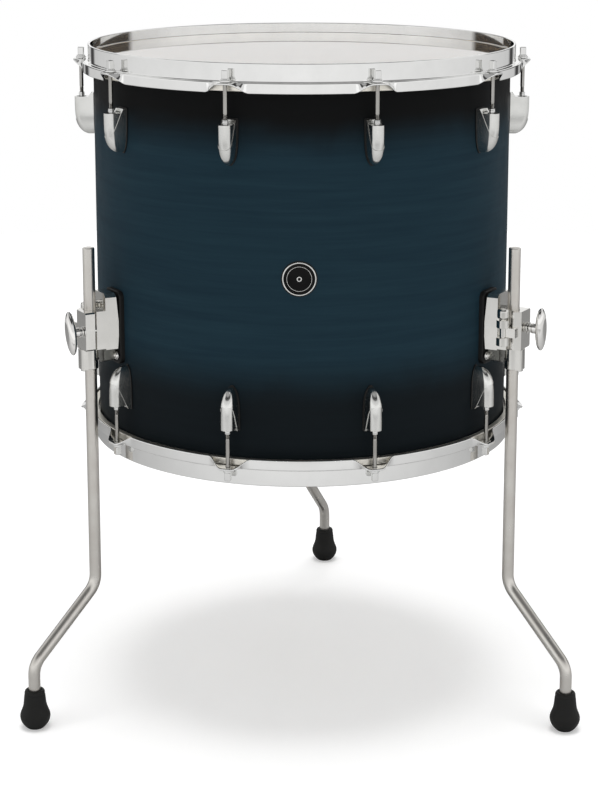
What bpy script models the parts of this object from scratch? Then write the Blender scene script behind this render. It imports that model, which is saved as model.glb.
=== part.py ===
"""A floor tom, 18 by 16 inches, standing on three clamped legs.

Metres, +Z up.  The floor is z = 0, and the origin is the middle of the footprint.
The front of the drum faces -Y.  An azimuth is counted in degrees from the front,
growing towards +X.  Around the shell, u runs outwards, t towards growing azimuth.
"""

import math

import bmesh
import bpy
from mathutils import Matrix, Vector

# Clearances
SEAT_GAP = 0.0003          # between a piece and what it rests on
RUNNING_GAP = 0.0003       # around a pin, a bolt or a leg that turns or slides
LEG_GRIP_GAP = 0.00035     # around the leg in its clamp

# Fineness of the meshes
WELD = 0.000001            # points closer than this are one
SHARP_ANGLE = 40.0         # degrees; edges bent by more than this are shaded sharp
FLAT_ANGLE = 0.5           # degrees; faces bent by less than this are one face
HOLE_SIDES = 8
BOLT_SIDES = 10
BARREL_SIDES = 12

# Shell: a ply tube with a bearing edge at each end
SHELL_RADIUS = 0.2265
SHELL_HEIGHT = 0.4064
SHELL_WALL = 0.0064
SHELL_BOTTOM = 0.2991      # height of the lower bearing edge above the floor
CROWN_INSET = 0.0018       # crown of the bearing edge, in from the outer face
OUTER_CUT = 0.0022         # depth of the cut outside the crown
SHELL_SIDES = 60

# Heads: a film, its collar and the ring that the hoop pulls down
FILM = 0.0005
COLLAR_CLEAR = 0.0016      # between the shell and the collar of the film
COLLAR_DEPTH = 0.0095      # from the film down to the top of the ring
COLLAR_BEND = 0.0034
RING_WIDTH = 0.0065
RING_HEIGHT = 0.0070

# Hoops: a band inside, a flange, and a skirt that rises into an ear at each rod
BAND_CLEAR = 0.0008        # between the collar of the film and the band
BAND_WALL = 0.0025
HOOP_RISE = 0.01145        # from the film up to the rim
HOOP_HEIGHT = 0.0294
FLANGE_WIDTH = 0.0064
SHEET = 0.0023             # thickness of the flange and the skirt
EAR_REACH = 0.0077         # from the rod's axis out to the tip of the ear
EAR_HALF_FLAT = 1.7        # degrees
EAR_HALF_WAVE = 4.7        # degrees
WAVE_LIFT = 0.55           # share of the rise that the skirt has halfway up its wave
SHOULDER_DROP = 0.0009     # how far the skirt's shoulder lies below the flange
ROD_HOLE = 0.0030

# Lugs and tension rods
LUG_COUNT = 10
FIRST_LUG = 18.0           # azimuth of the first lug
ROD_STANDOFF = 0.0145      # from the shell to the rod's axis
ROD_RADIUS = 0.0022
ROD_ENGAGED = 0.0210       # length of the rod inside the lug
WASHER_RADIUS = 0.0055
WASHER_THICKNESS = 0.0018
ROD_FLANGE_RADIUS = 0.0046
ROD_FLANGE = 0.0017
KEY_SQUARE = 0.00635
KEY_HEIGHT = 0.0083
KEY_FLAT = 0.72            # share of each side of the key that is flat
LUG_DROP = 0.0480          # from the end of the shell to the open end of the lug
LUG_LENGTH = 0.0415
LUG_RADIUS = 0.0074        # the rounded front
LUG_NOSE = 0.0010          # how far the front stands out past that radius
LUG_BACK = 0.0074          # half width where it meets the shell
LUG_SHOULDER = 0.0048      # from the shell to the crease on the lug's side
LUG_CREASE = 0.25          # share of the side's taper that is left at the crease
LUG_FRONT_STEPS = 6
LUG_LIP = 0.0038
NUT_BORE = 0.0030
NUT_BORE_DEPTH = 0.0240
# Down a lug: share of its length, then of its reach, its width and its back
LUG_SECTIONS = [
    (0.0, 1.0, 1.0, 1.0),
    (0.45, 0.985, 0.99, 0.97),
    (0.72, 0.88, 0.84, 0.82),
    (0.90, 0.66, 0.56, 0.54),
    (1.0, 0.36, 0.20, 0.19),
]

# Leg brackets
BRACKET_HEIGHT = 0.1283    # from the lower end of the shell to the bracket's middle
PLATE_HALF_WIDTH = 0.0138
PLATE_HALF_HEIGHT = 0.0390
PLATE_CHAMFER = 0.0055
PLATE_THICKNESS = 0.0206
PLATE_EDGE = 0.0012
LEG_STANDOFF = 0.0308      # from the shell to the leg's axis
CLAMP_HALF_HEIGHT = 0.0205
CLAMP_FAR_SIDE = 0.0165    # t of the side that the wing bolt is on
CLAMP_SPLIT = 0.0012
JAW_DEPTH = 0.0134
JAW_NEAR_SIDE = 0.0120     # distance from the leg's axis towards the hinge
JAW_CHAMFER = 0.0028
PIN_INSET = 0.0040         # from the leg's axis back to the hinge pin, along u
PIN_SIDE = 0.0175          # from the leg's axis to the hinge pin, along t
PIN_RADIUS = 0.0024
PIN_HEAD_RADIUS = 0.0058
PIN_HEAD_HEIGHT = 0.0102
PIN_COLLAR = 0.0014
BASE_KNUCKLE_RADIUS = 0.0068
JAW_KNUCKLE_RADIUS = 0.0048
UPPER_KNUCKLE = 0.0071
LOWER_KNUCKLE = 0.0090
JAW_KNUCKLE = 0.0102
JAW_KNUCKLE_MIDDLE = -0.0008
JAW_ARM_DEPTH = 0.0085

# Wing bolts
BOLT_SIDE = 0.0115         # from the leg's axis to the bolt, along t
BOLT_RADIUS = 0.0025
BOLT_SLACK = 0.0008        # in the base, so that the jaw can swing with the bolt
BOLT_DEPTH = 0.0160        # how far the bolt reaches behind the clamp's split
BOLT_HOLE_SPARE = 0.0020
STEM_RADIUS = 0.0052
STEM_LENGTH = 0.0070
WING_SIDES = 12
WING_THICKNESS = 0.0100
WING_HALF_LENGTH = 0.0230
WING_HALF_WIDTH = 0.0090
# Out along the wing: share of its thickness, then of its half length and its half width
WING_SECTIONS = [
    (0.08, 0.62, 0.66),
    (0.34, 0.95, 0.95),
    (0.60, 1.0, 1.0),
    (0.84, 0.82, 0.82),
    (1.0, 0.42, 0.42),
]

# Legs, memory locks and feet
LEG_RADIUS = 0.00635
LEG_ABOVE_BRACKET = 0.0870
LEG_BEND_HEIGHT = 0.1436   # where the leg turns outwards, above the floor
LEG_SPLAY = 46.8           # degrees from upright
LEG_REACH = 0.0786         # from the leg's axis out to the foot's
LEG_BEND_RADIUS = 0.0260
LEG_BEND_STEPS = 4
LEG_SIDES = 12
LEG_TOP_EDGE = 0.0010      # the bevel at the top of the leg
LOCK_RADIUS = 0.0093
LOCK_OFFSET = 0.0027
LOCK_HEIGHT = 0.0227
FOOT_HEIGHT = 0.0425
FOOT_RADIUS = 0.0163
FOOT_SOLE = 0.0090
FOOT_NECK = 0.0110
FOOT_SOCKET_FLOOR = 0.0120
FOOT_SIDES = 16
# Up the foot: share of its swell past the neck, then of its height
FOOT_SECTIONS = [
    (0.28, 0.09),
    (0.80, 0.19),
    (1.0, 0.31),
    (0.70, 0.45),
    (0.34, 0.54),
    (0.18, 0.68),
    (0.0, 0.88),
    (0.02, 0.96),
    (-0.25, 1.0),
]

# Azimuth of each leg, the turn of its foot and the turn of its wing bolt
LEGS = {
    "left": (-60.0, 7.7, 15.0),
    "right": (60.0, -12.0, 0.0),
    "back": (180.0, -21.7, -25.0),
}

# Sizes that follow
SHELL_TOP = SHELL_BOTTOM + SHELL_HEIGHT
SHELL_MIDDLE = (SHELL_BOTTOM + SHELL_TOP) / 2
ROD_CIRCLE = SHELL_RADIUS + ROD_STANDOFF
COLLAR_INNER = SHELL_RADIUS + COLLAR_CLEAR
COLLAR_OUTER = COLLAR_INNER + FILM
FILM_TOP = SHELL_TOP + SEAT_GAP + FILM
RING_TOP = FILM_TOP - COLLAR_DEPTH
RIM_TOP = FILM_TOP + HOOP_RISE
BAND_INNER = COLLAR_OUTER + BAND_CLEAR
BAND_OUTER = BAND_INNER + BAND_WALL
SKIRT_OUTER = BAND_OUTER + FLANGE_WIDTH
FLANGE_BOTTOM = RING_TOP + SEAT_GAP
FLANGE_TOP = FLANGE_BOTTOM + SHEET
LUG_TOP = SHELL_TOP - LUG_DROP
BRACKET_MIDDLE = SHELL_BOTTOM + BRACKET_HEIGHT
LEG_CIRCLE = SHELL_RADIUS + LEG_STANDOFF
BLOCK_FACE = LEG_STANDOFF - CLAMP_SPLIT / 2
JAW_FACE = LEG_STANDOFF + CLAMP_SPLIT / 2
JAW_FRONT = JAW_FACE + JAW_DEPTH
PIN_U = LEG_STANDOFF - PIN_INSET
LEG_BORE = LEG_RADIUS + LEG_GRIP_GAP
ROD_LENGTH = FLANGE_TOP + SEAT_GAP - LUG_TOP + ROD_ENGAGED


def outwards(azimuth):
    """The unit vector that points from the drum's axis towards an azimuth."""
    turn = math.radians(azimuth)
    return Vector((math.sin(turn), -math.cos(turn), 0.0))


def foot_centre(side):
    """Where a foot stands, counted from the drum's axis."""
    azimuth, foot_turn, _ = LEGS[side]
    return outwards(azimuth) * LEG_CIRCLE + outwards(azimuth + foot_turn) * LEG_REACH


def footprint_middle():
    """The middle of the whole drum seen from above, counted from the drum's axis."""
    left = foot_centre("left").x - FOOT_RADIUS
    right = foot_centre("right").x + FOOT_RADIUS
    front = -SKIRT_OUTER
    back = foot_centre("back").y + FOOT_RADIUS
    return Vector(((left + right) / 2, (front + back) / 2, 0.0))


def clear_scene():
    for thing in list(bpy.data.objects):
        bpy.data.objects.remove(thing)


def make_finish(name, colour, roughness, metallic):
    """A plain finish with one Principled shader."""
    finish = bpy.data.materials.new(name)
    finish.use_nodes = True
    shader = finish.node_tree.nodes["Principled BSDF"]
    shader.inputs["Base Color"].default_value = (*colour, 1.0)
    shader.inputs["Roughness"].default_value = roughness
    shader.inputs["Metallic"].default_value = metallic
    return finish


def mesh_from(shape, name, finish):
    """Turn a bmesh into a mesh with one finish, shaded smooth between sharp edges."""
    bmesh.ops.remove_doubles(shape, verts=shape.verts[:], dist=WELD)
    bmesh.ops.recalc_face_normals(shape, faces=shape.faces[:])
    mesh = bpy.data.meshes.new(name)
    shape.to_mesh(mesh)
    shape.free()
    mesh.shade_smooth()
    mesh.set_sharp_from_angle(angle=math.radians(SHARP_ANGLE))
    mesh.materials.append(finish)
    return mesh


def add_object(name, mesh, parent, place, turn=(0.0, 0.0, 0.0)):
    thing = bpy.data.objects.new(name, mesh)
    bpy.context.collection.objects.link(thing)
    thing.parent = parent
    thing.location = place
    thing.rotation_euler = turn
    return thing


def add_empty(name, place, turn=(0.0, 0.0, 0.0), parent=None):
    thing = add_object(name, None, parent, place, turn)
    thing.empty_display_size = 0.02
    return thing


def turned_shape(outline, sides):
    """Spin an outline of (radius, height) points about Z.  It closes on itself or on the axis."""
    shape = bmesh.new()
    points = [shape.verts.new((radius, 0.0, height)) for radius, height in outline]
    on_axis = outline[0][0] == 0.0
    edges = [shape.edges.new(pair) for pair in zip(points, points[1:])]
    if not on_axis:
        edges.append(shape.edges.new((points[-1], points[0])))
    bmesh.ops.spin(shape, geom=points + edges, cent=(0, 0, 0), axis=(0, 0, 1),
                   angle=2 * math.pi, steps=sides, use_merge=True)
    bmesh.ops.remove_doubles(shape, verts=shape.verts[:], dist=WELD)
    return shape


def lofted_shape(rings, closed=False):
    """Skin rings of points that have the same count.  Open ends get a flat cap."""
    shape = bmesh.new()
    made = [[shape.verts.new(point) for point in ring] for ring in rings]
    pairs = list(zip(made, made[1:]))
    if closed:
        pairs.append((made[-1], made[0]))
    count = len(made[0])
    for lower, upper in pairs:
        for index in range(count):
            after = (index + 1) % count
            shape.faces.new((lower[index], lower[after], upper[after], upper[index]))
    if not closed:
        shape.faces.new(made[0][::-1])
        shape.faces.new(made[-1])
    return shape


def box_shape(low, high):
    shape = bmesh.new()
    size = Vector(high) - Vector(low)
    middle = (Vector(high) + Vector(low)) / 2
    bmesh.ops.create_cube(shape, size=1.0, matrix=Matrix.Translation(middle) @ Matrix.Diagonal((*size, 1.0)))
    return shape


def upright_cylinder(place, radius, bottom, top, sides):
    """A cylinder along Z whose axis passes through place, given as (u, t)."""
    shape = bmesh.new()
    middle = Matrix.Translation((place[0], place[1], (bottom + top) / 2))
    bmesh.ops.create_cone(shape, cap_ends=True, segments=sides, radius1=radius, radius2=radius,
                          depth=top - bottom, matrix=middle)
    return shape


def outward_cylinder(place, radius, inner, outer, sides):
    """A cylinder along u whose axis passes through place, given as (t, z)."""
    shape = bmesh.new()
    middle = Matrix.Translation(((inner + outer) / 2, place[0], place[1]))
    lay_down = Matrix.Rotation(math.pi / 2, 4, "Y")
    bmesh.ops.create_cone(shape, cap_ends=True, segments=sides, radius1=radius, radius2=radius,
                          depth=outer - inner, matrix=middle @ lay_down)
    return shape


def combined(shape, other, operation):
    """Join another shape to a shape, or cut it away.  Both are used up."""
    things = []
    for number, part in enumerate((shape, other)):
        bmesh.ops.recalc_face_normals(part, faces=part.faces[:])
        mesh = bpy.data.meshes.new("work_{}".format(number))
        part.to_mesh(mesh)
        part.free()
        things.append(add_object(mesh.name, mesh, None, (0, 0, 0)))
    cut = things[0].modifiers.new("cut", "BOOLEAN")
    cut.operation = operation
    cut.solver = "EXACT"
    cut.object = things[1]
    bpy.context.view_layer.update()
    result = bmesh.new()
    result.from_object(things[0], bpy.context.evaluated_depsgraph_get())
    for thing in things:
        mesh = thing.data
        bpy.data.objects.remove(thing)
        bpy.data.meshes.remove(mesh)
    bmesh.ops.dissolve_limit(result, angle_limit=math.radians(FLAT_ANGLE), verts=result.verts[:],
                             edges=result.edges[:])
    return result


def build_shell(finish):
    """The ply tube.  Each end is cut to a crown that carries a head."""
    crown = SHELL_RADIUS - CROWN_INSET
    inside = SHELL_RADIUS - SHELL_WALL
    inner_cut = crown - inside
    half = SHELL_HEIGHT / 2
    outline = [
        (SHELL_RADIUS, half - OUTER_CUT),
        (SHELL_RADIUS, OUTER_CUT - half),
        (crown, -half),
        (inside, inner_cut - half),
        (inside, half - inner_cut),
        (crown, half),
    ]
    return mesh_from(turned_shape(outline, SHELL_SIDES), "shell", finish)


def build_head(finish):
    """Film, collar and ring in one.  Heights are counted from the upper bearing edge."""
    top = SEAT_GAP + FILM
    ring_top = top - COLLAR_DEPTH
    shoulder = COLLAR_INNER - COLLAR_BEND
    outline = [
        (0.0, top),
        (shoulder, top),
        (COLLAR_OUTER, top - COLLAR_BEND),
        (COLLAR_OUTER, ring_top),
        (COLLAR_INNER + RING_WIDTH, ring_top),
        (COLLAR_INNER + RING_WIDTH, ring_top - RING_HEIGHT),
        (COLLAR_INNER, ring_top - RING_HEIGHT),
        (COLLAR_INNER, top - FILM - COLLAR_BEND),
        (shoulder, top - FILM),
        (0.0, top - FILM),
    ]
    return mesh_from(turned_shape(outline, SHELL_SIDES), "head", finish)


def hoop_section(lift):
    """The section of the hoop, from the rim down.  The lift is 0 at the skirt and 1 at an ear."""
    flange_top = FLANGE_TOP - RIM_TOP
    flange_bottom = flange_top - SHEET
    ear_tip = ROD_CIRCLE + EAR_REACH
    inner_tip = SKIRT_OUTER - SHEET
    low = -HOOP_HEIGHT
    return [
        (BAND_OUTER, 0.0),
        (BAND_INNER, 0.0),
        (BAND_INNER, flange_bottom),
        (inner_tip, flange_bottom),
        (inner_tip + (ear_tip - inner_tip) * lift, low + (flange_bottom - low) * lift),
        (SKIRT_OUTER + (ear_tip - SKIRT_OUTER) * lift, low + (flange_top - low) * lift),
        (SKIRT_OUTER + (ear_tip - SHEET / 2 - SKIRT_OUTER) * lift, flange_top - SHOULDER_DROP * (1 - lift)),
        (BAND_OUTER, flange_top),
    ]


def build_hoop(finish):
    """The hoop, with its rim at z = 0 and its ears on the rods."""
    spacing = 360.0 / LUG_COUNT
    waist = (EAR_HALF_FLAT + EAR_HALF_WAVE) / 2
    between = (spacing / 2 - EAR_HALF_WAVE) / 3
    steps = [(0.0, 1.0), (EAR_HALF_FLAT, 1.0), (waist, WAVE_LIFT), (EAR_HALF_WAVE, 0.0)]
    steps += [(EAR_HALF_WAVE + between, 0.0), (EAR_HALF_WAVE + 2 * between, 0.0)]
    around = [(-angle, lift) for angle, lift in steps[:0:-1]] + steps + [(spacing / 2, 0.0)]
    rings = []
    for number in range(LUG_COUNT):
        for angle, lift in around:
            way = outwards(FIRST_LUG + number * spacing + angle)
            rings.append([way * radius + Vector((0, 0, height)) for radius, height in hoop_section(lift)])
    hoop = lofted_shape(rings, closed=True)
    holes = bmesh.new()
    for number in range(LUG_COUNT):
        place = outwards(FIRST_LUG + number * spacing) * ROD_CIRCLE
        middle = Matrix.Translation(place + Vector((0, 0, FLANGE_TOP - RIM_TOP)))
        bmesh.ops.create_cone(holes, cap_ends=True, segments=HOLE_SIDES, radius1=ROD_HOLE,
                              radius2=ROD_HOLE, depth=4 * SHEET, matrix=middle)
    return mesh_from(combined(hoop, holes, "DIFFERENCE"), "hoop", finish)


def lug_ring(depth, front, half_width, half_back):
    """A section across a lug: a round front that narrows to the shell."""
    centre = front - half_width
    ring = []
    for step in range(LUG_FRONT_STEPS + 1):
        turn = math.pi * (step / LUG_FRONT_STEPS - 0.5)
        ring.append((centre + half_width * math.cos(turn), half_width * math.sin(turn), depth))
    crease = LUG_SHOULDER * front / (ROD_STANDOFF + LUG_RADIUS + LUG_NOSE)
    side = half_back + (half_width - half_back) * LUG_CREASE
    ring += [(crease, side, depth), (SEAT_GAP, half_back, depth)]
    ring += [(SEAT_GAP, -half_back, depth), (crease, -side, depth)]
    return ring


def build_lug(finish):
    """A bullet-shaped lug.  Its open end is at z = 0, and it runs down."""
    front = ROD_STANDOFF + LUG_RADIUS + LUG_NOSE
    rings = [
        lug_ring(-LUG_LENGTH * depth, front * reach, LUG_RADIUS * width, LUG_BACK * back)
        for depth, reach, width, back in LUG_SECTIONS
    ]
    rings[0][-3] = (SEAT_GAP, LUG_BACK, LUG_LIP)
    rings[0][-2] = (SEAT_GAP, -LUG_BACK, LUG_LIP)
    lug = lofted_shape(rings)
    open_end = max(lug.faces, key=lambda face: face.calc_center_median().z)
    creases = [rings[0][-4], rings[0][-1]]
    ends = [min(open_end.verts, key=lambda vert: (vert.co - Vector(point)).length) for point in creases]
    bmesh.ops.connect_verts(lug, verts=ends)
    bore = upright_cylinder((ROD_STANDOFF, 0.0), NUT_BORE, -NUT_BORE_DEPTH, LUG_LIP, HOLE_SIDES)
    return mesh_from(combined(lug, bore, "DIFFERENCE"), "lug", finish)


def build_rod(finish):
    """A tension rod with its washer.  The washer's underside is at z = 0."""
    washer = WASHER_THICKNESS
    flange = washer + ROD_FLANGE
    square = KEY_SQUARE / 2

    def round_ring(radius, height):
        turns = [2 * math.pi * (step + 0.5) / HOLE_SIDES for step in range(HOLE_SIDES)]
        return [(radius * math.cos(turn), radius * math.sin(turn), height) for turn in turns]

    def square_ring(height):
        corner = square * KEY_FLAT
        ring = [(square, corner), (corner, square), (-corner, square), (-square, corner)]
        ring += [(-square, -corner), (-corner, -square), (corner, -square), (square, -corner)]
        return [(x, y, height) for x, y in ring]

    rings = [
        round_ring(ROD_RADIUS, -ROD_LENGTH),
        round_ring(ROD_RADIUS, 0.0),
        round_ring(WASHER_RADIUS, 0.0),
        round_ring(WASHER_RADIUS, washer),
        round_ring(ROD_FLANGE_RADIUS, washer),
        round_ring(ROD_FLANGE_RADIUS, flange),
        square_ring(flange),
        square_ring(flange + KEY_HEIGHT),
    ]
    return mesh_from(lofted_shape(rings), "rod", finish)


def build_bracket_base(finish):
    """The fixed half of a leg bracket, with two knuckles and the hinge pin."""
    seat = SHELL_RADIUS + SEAT_GAP
    half = PLATE_HALF_WIDTH
    inner = half - PLATE_CHAMFER
    rings = []
    for t in (-half, -inner, 0.0, inner, half):
        tall = PLATE_HALF_HEIGHT - (PLATE_CHAMFER if abs(t) == half else 0.0)
        back = math.sqrt(seat ** 2 - t ** 2) - SHELL_RADIUS
        rim = PLATE_THICKNESS - PLATE_EDGE
        short = tall - PLATE_EDGE
        section = [(back, -tall), (rim, -tall), (PLATE_THICKNESS, -short)]
        section += [(PLATE_THICKNESS, short), (rim, tall), (back, tall)]
        rings.append([(u, t, z) for u, z in section])
    base = lofted_shape(rings)

    side = CLAMP_HALF_HEIGHT
    block = box_shape((PLATE_THICKNESS / 2, -PLATE_HALF_WIDTH, -side), (BLOCK_FACE, CLAMP_FAR_SIDE, side))
    base = combined(base, block, "UNION")

    pin = (PIN_U, -PIN_SIDE)
    low = JAW_KNUCKLE_MIDDLE - JAW_KNUCKLE / 2 - RUNNING_GAP
    high = JAW_KNUCKLE_MIDDLE + JAW_KNUCKLE / 2 + RUNNING_GAP
    recess = upright_cylinder(pin, JAW_KNUCKLE_RADIUS + 2 * RUNNING_GAP, low, high, BARREL_SIDES)
    base = combined(base, recess, "DIFFERENCE")
    barrel_top = high + UPPER_KNUCKLE
    barrel_low = low - LOWER_KNUCKLE
    for bottom, top in ((high, barrel_top), (barrel_low, low)):
        barrel = upright_cylinder(pin, BASE_KNUCKLE_RADIUS, bottom, top, BARREL_SIDES)
        base = combined(base, barrel, "UNION")
    head_low = barrel_top + PIN_COLLAR
    stem_top = head_low + PIN_HEAD_HEIGHT / 2
    stem = upright_cylinder(pin, PIN_RADIUS, barrel_low - PIN_COLLAR, stem_top, HOLE_SIDES)
    base = combined(base, stem, "UNION")
    head = upright_cylinder(pin, PIN_HEAD_RADIUS, head_low, head_low + PIN_HEAD_HEIGHT, BARREL_SIDES)
    base = combined(base, head, "UNION")

    leg_way = upright_cylinder((LEG_STANDOFF, 0.0), LEG_BORE, -2 * side, 2 * side, LEG_SIDES)
    base = combined(base, leg_way, "DIFFERENCE")
    bottom = BLOCK_FACE - BOLT_DEPTH - BOLT_HOLE_SPARE
    bolt_way = outward_cylinder((BOLT_SIDE, 0.0), BOLT_RADIUS + BOLT_SLACK, bottom, JAW_FACE, BOLT_SIDES)
    return mesh_from(combined(base, bolt_way, "DIFFERENCE"), "bracket_base", finish)


def build_bracket_jaw(finish):
    """The swinging half of a leg bracket.  Its origin is on the hinge pin."""
    side = CLAMP_HALF_HEIGHT
    near = -JAW_NEAR_SIDE
    outline = [(JAW_FACE, near), (JAW_FRONT - JAW_CHAMFER, near), (JAW_FRONT, near + JAW_CHAMFER)]
    outline += [(JAW_FRONT, CLAMP_FAR_SIDE - JAW_CHAMFER), (JAW_FRONT - JAW_CHAMFER, CLAMP_FAR_SIDE)]
    outline += [(JAW_FACE, CLAMP_FAR_SIDE)]
    jaw = lofted_shape([[(u, t, -side) for u, t in outline], [(u, t, side) for u, t in outline]])

    pin = (PIN_U, -PIN_SIDE)
    low = JAW_KNUCKLE_MIDDLE - JAW_KNUCKLE / 2
    high = JAW_KNUCKLE_MIDDLE + JAW_KNUCKLE / 2
    inner = PIN_U + PIN_RADIUS + RUNNING_GAP
    outer = JAW_FACE + JAW_ARM_DEPTH
    past_block = -PLATE_HALF_WIDTH - 2 * RUNNING_GAP
    root = (near - LEG_BORE) / 2
    outline = [(inner, -PIN_SIDE), (outer, -PIN_SIDE), (outer, root), (JAW_FACE, root)]
    outline += [(JAW_FACE, past_block), (inner, past_block)]
    arm = lofted_shape([[(u, t, low) for u, t in outline], [(u, t, high) for u, t in outline]])
    jaw = combined(jaw, arm, "UNION")
    jaw = combined(jaw, upright_cylinder(pin, JAW_KNUCKLE_RADIUS, low, high, BARREL_SIDES), "UNION")
    pin_way = upright_cylinder(pin, PIN_RADIUS + RUNNING_GAP, -side, side, HOLE_SIDES)
    jaw = combined(jaw, pin_way, "DIFFERENCE")
    leg_way = upright_cylinder((LEG_STANDOFF, 0.0), LEG_BORE, -2 * side, 2 * side, LEG_SIDES)
    jaw = combined(jaw, leg_way, "DIFFERENCE")
    bolt_hole = BOLT_RADIUS + RUNNING_GAP
    bolt_way = outward_cylinder((BOLT_SIDE, 0.0), bolt_hole, BLOCK_FACE, 2 * JAW_FRONT, BOLT_SIDES)
    jaw = combined(jaw, bolt_way, "DIFFERENCE")
    bmesh.ops.translate(jaw, verts=jaw.verts[:], vec=(-PIN_U, PIN_SIDE, 0))
    return mesh_from(jaw, "bracket_jaw", finish)


def build_wing_bolt(finish):
    """A bolt with an oval wing.  Its shoulder, which meets the jaw, is at u = 0."""
    inner = BLOCK_FACE - BOLT_DEPTH - JAW_FRONT - SEAT_GAP
    sections = [
        (inner, BOLT_RADIUS, BOLT_RADIUS),
        (0.0, BOLT_RADIUS, BOLT_RADIUS),
        (0.0, STEM_RADIUS, STEM_RADIUS),
        (STEM_LENGTH, STEM_RADIUS, STEM_RADIUS),
    ]
    sections += [
        (STEM_LENGTH + WING_THICKNESS * out, WING_HALF_LENGTH * tall, WING_HALF_WIDTH * wide)
        for out, tall, wide in WING_SECTIONS
    ]
    rings = []
    for u, tall, wide in sections:
        turns = [2 * math.pi * step / WING_SIDES for step in range(WING_SIDES)]
        rings.append([(u, wide * math.sin(turn), tall * math.cos(turn)) for turn in turns])
    return mesh_from(lofted_shape(rings), "wing_bolt", finish)


def leg_route(foot_turn):
    """Centres and directions along the leg, from its top down to its end in the foot."""
    way = Vector((math.cos(math.radians(foot_turn)), math.sin(math.radians(foot_turn)), 0.0))
    down = Vector((0.0, 0.0, -1.0))
    splay = math.radians(LEG_SPLAY)
    slope = way * math.sin(splay) + down * math.cos(splay)
    origin = BRACKET_MIDDLE
    first = Vector((0.0, 0.0, LEG_BEND_HEIGHT - origin))
    second = first + slope * (LEG_REACH / math.sin(splay))
    end = Vector((second.x, second.y, FOOT_SOCKET_FLOOR + SEAT_GAP - origin))
    cut = LEG_BEND_RADIUS * math.tan(splay / 2)
    route = []
    for corner, before, after in ((first, down, slope), (second, slope, down)):
        middle_side = (after - before).normalized()
        hub = corner + middle_side * (LEG_BEND_RADIUS / math.cos(splay / 2))
        start = corner - before * cut
        spoke = start - hub
        across = spoke.cross(before).normalized()
        for step in range(LEG_BEND_STEPS + 1):
            turned = Matrix.Rotation(splay * step / LEG_BEND_STEPS, 3, across)
            route.append((hub + turned @ spoke, turned @ before))
    route.append((end, down))
    return route


def build_leg(foot_turn, finish):
    """A bent leg with its memory lock.  Its origin is on its axis at the bracket's middle."""
    def ring(centre, heading, radius):
        side = Vector((-math.sin(math.radians(foot_turn)), math.cos(math.radians(foot_turn)), 0.0))
        ahead = side.cross(heading)
        turns = [2 * math.pi * step / LEG_SIDES for step in range(LEG_SIDES)]
        return [centre + (ahead * math.cos(turn) + side * math.sin(turn)) * radius for turn in turns]

    down = Vector((0.0, 0.0, -1.0))
    lock_top = -CLAMP_HALF_HEIGHT - SEAT_GAP
    lock_bottom = lock_top - LOCK_HEIGHT
    shift = Vector((LOCK_OFFSET, 0.0, 0.0))
    rings = [
        ring(Vector((0, 0, LEG_ABOVE_BRACKET)), down, LEG_RADIUS - LEG_TOP_EDGE),
        ring(Vector((0, 0, LEG_ABOVE_BRACKET - LEG_TOP_EDGE)), down, LEG_RADIUS),
        ring(Vector((0, 0, lock_top)), down, LEG_RADIUS),
        ring(Vector((0, 0, lock_top)) + shift, down, LOCK_RADIUS),
        ring(Vector((0, 0, lock_bottom)) + shift, down, LOCK_RADIUS),
        ring(Vector((0, 0, lock_bottom)), down, LEG_RADIUS),
    ]
    rings += [ring(centre, heading, LEG_RADIUS) for centre, heading in leg_route(foot_turn)]
    return mesh_from(lofted_shape(rings), "leg", finish)


def build_foot(finish):
    """A pear-shaped rubber foot with a socket for the leg.  Its sole is at z = 0."""
    socket = LEG_RADIUS + SEAT_GAP
    swell = FOOT_RADIUS - FOOT_NECK
    outline = [(0.0, 0.0), (FOOT_SOLE, 0.0)]
    outline += [(FOOT_NECK + swell * wide, FOOT_HEIGHT * high) for wide, high in FOOT_SECTIONS]
    outline += [(socket, FOOT_HEIGHT), (socket, FOOT_SOCKET_FLOOR), (0.0, FOOT_SOCKET_FLOOR)]
    return mesh_from(turned_shape(outline, FOOT_SIDES), "foot", finish)


def add_drum(axis, finishes):
    """Shell, heads and hoops.  The lower head and hoop are the upper ones turned over."""
    over = (math.pi, 0.0, 0.0)
    add_object("shell", build_shell(finishes["lacquer"]), axis, (0, 0, SHELL_MIDDLE))
    head = build_head(finishes["film"])
    add_object("batter_head", head, axis, (0, 0, SHELL_TOP))
    add_object("resonant_head", head, axis, (0, 0, SHELL_BOTTOM), over)
    hoop = build_hoop(finishes["hoop"])
    add_object("top_hoop", hoop, axis, (0, 0, RIM_TOP))
    add_object("bottom_hoop", hoop, axis, (0, 0, 2 * SHELL_MIDDLE - RIM_TOP), over)


def add_lugs(axis, finishes):
    """Ten lugs and ten tension rods for each head, numbered from the front towards +X."""
    lug = build_lug(finishes["lug"])
    rod = build_rod(finishes["rod"])
    washer_seat = FLANGE_TOP + SEAT_GAP
    spacing = 360.0 / LUG_COUNT
    for row, flip in (("top", 0.0), ("bottom", math.pi)):
        for number in range(LUG_COUNT):
            azimuth = FIRST_LUG + number * spacing
            turn = (flip, 0.0, math.radians(azimuth - 90.0))
            mirror = 1.0 if row == "top" else -1.0
            lug_place = outwards(azimuth) * SHELL_RADIUS
            lug_place.z = SHELL_MIDDLE + mirror * (LUG_TOP - SHELL_MIDDLE)
            add_object("{}_lug_{:02d}".format(row, number + 1), lug, axis, lug_place, turn)
            rod_place = outwards(azimuth) * ROD_CIRCLE
            rod_place.z = SHELL_MIDDLE + mirror * (washer_seat - SHELL_MIDDLE)
            add_object("{}_rod_{:02d}".format(row, number + 1), rod, axis, rod_place, turn)


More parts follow.
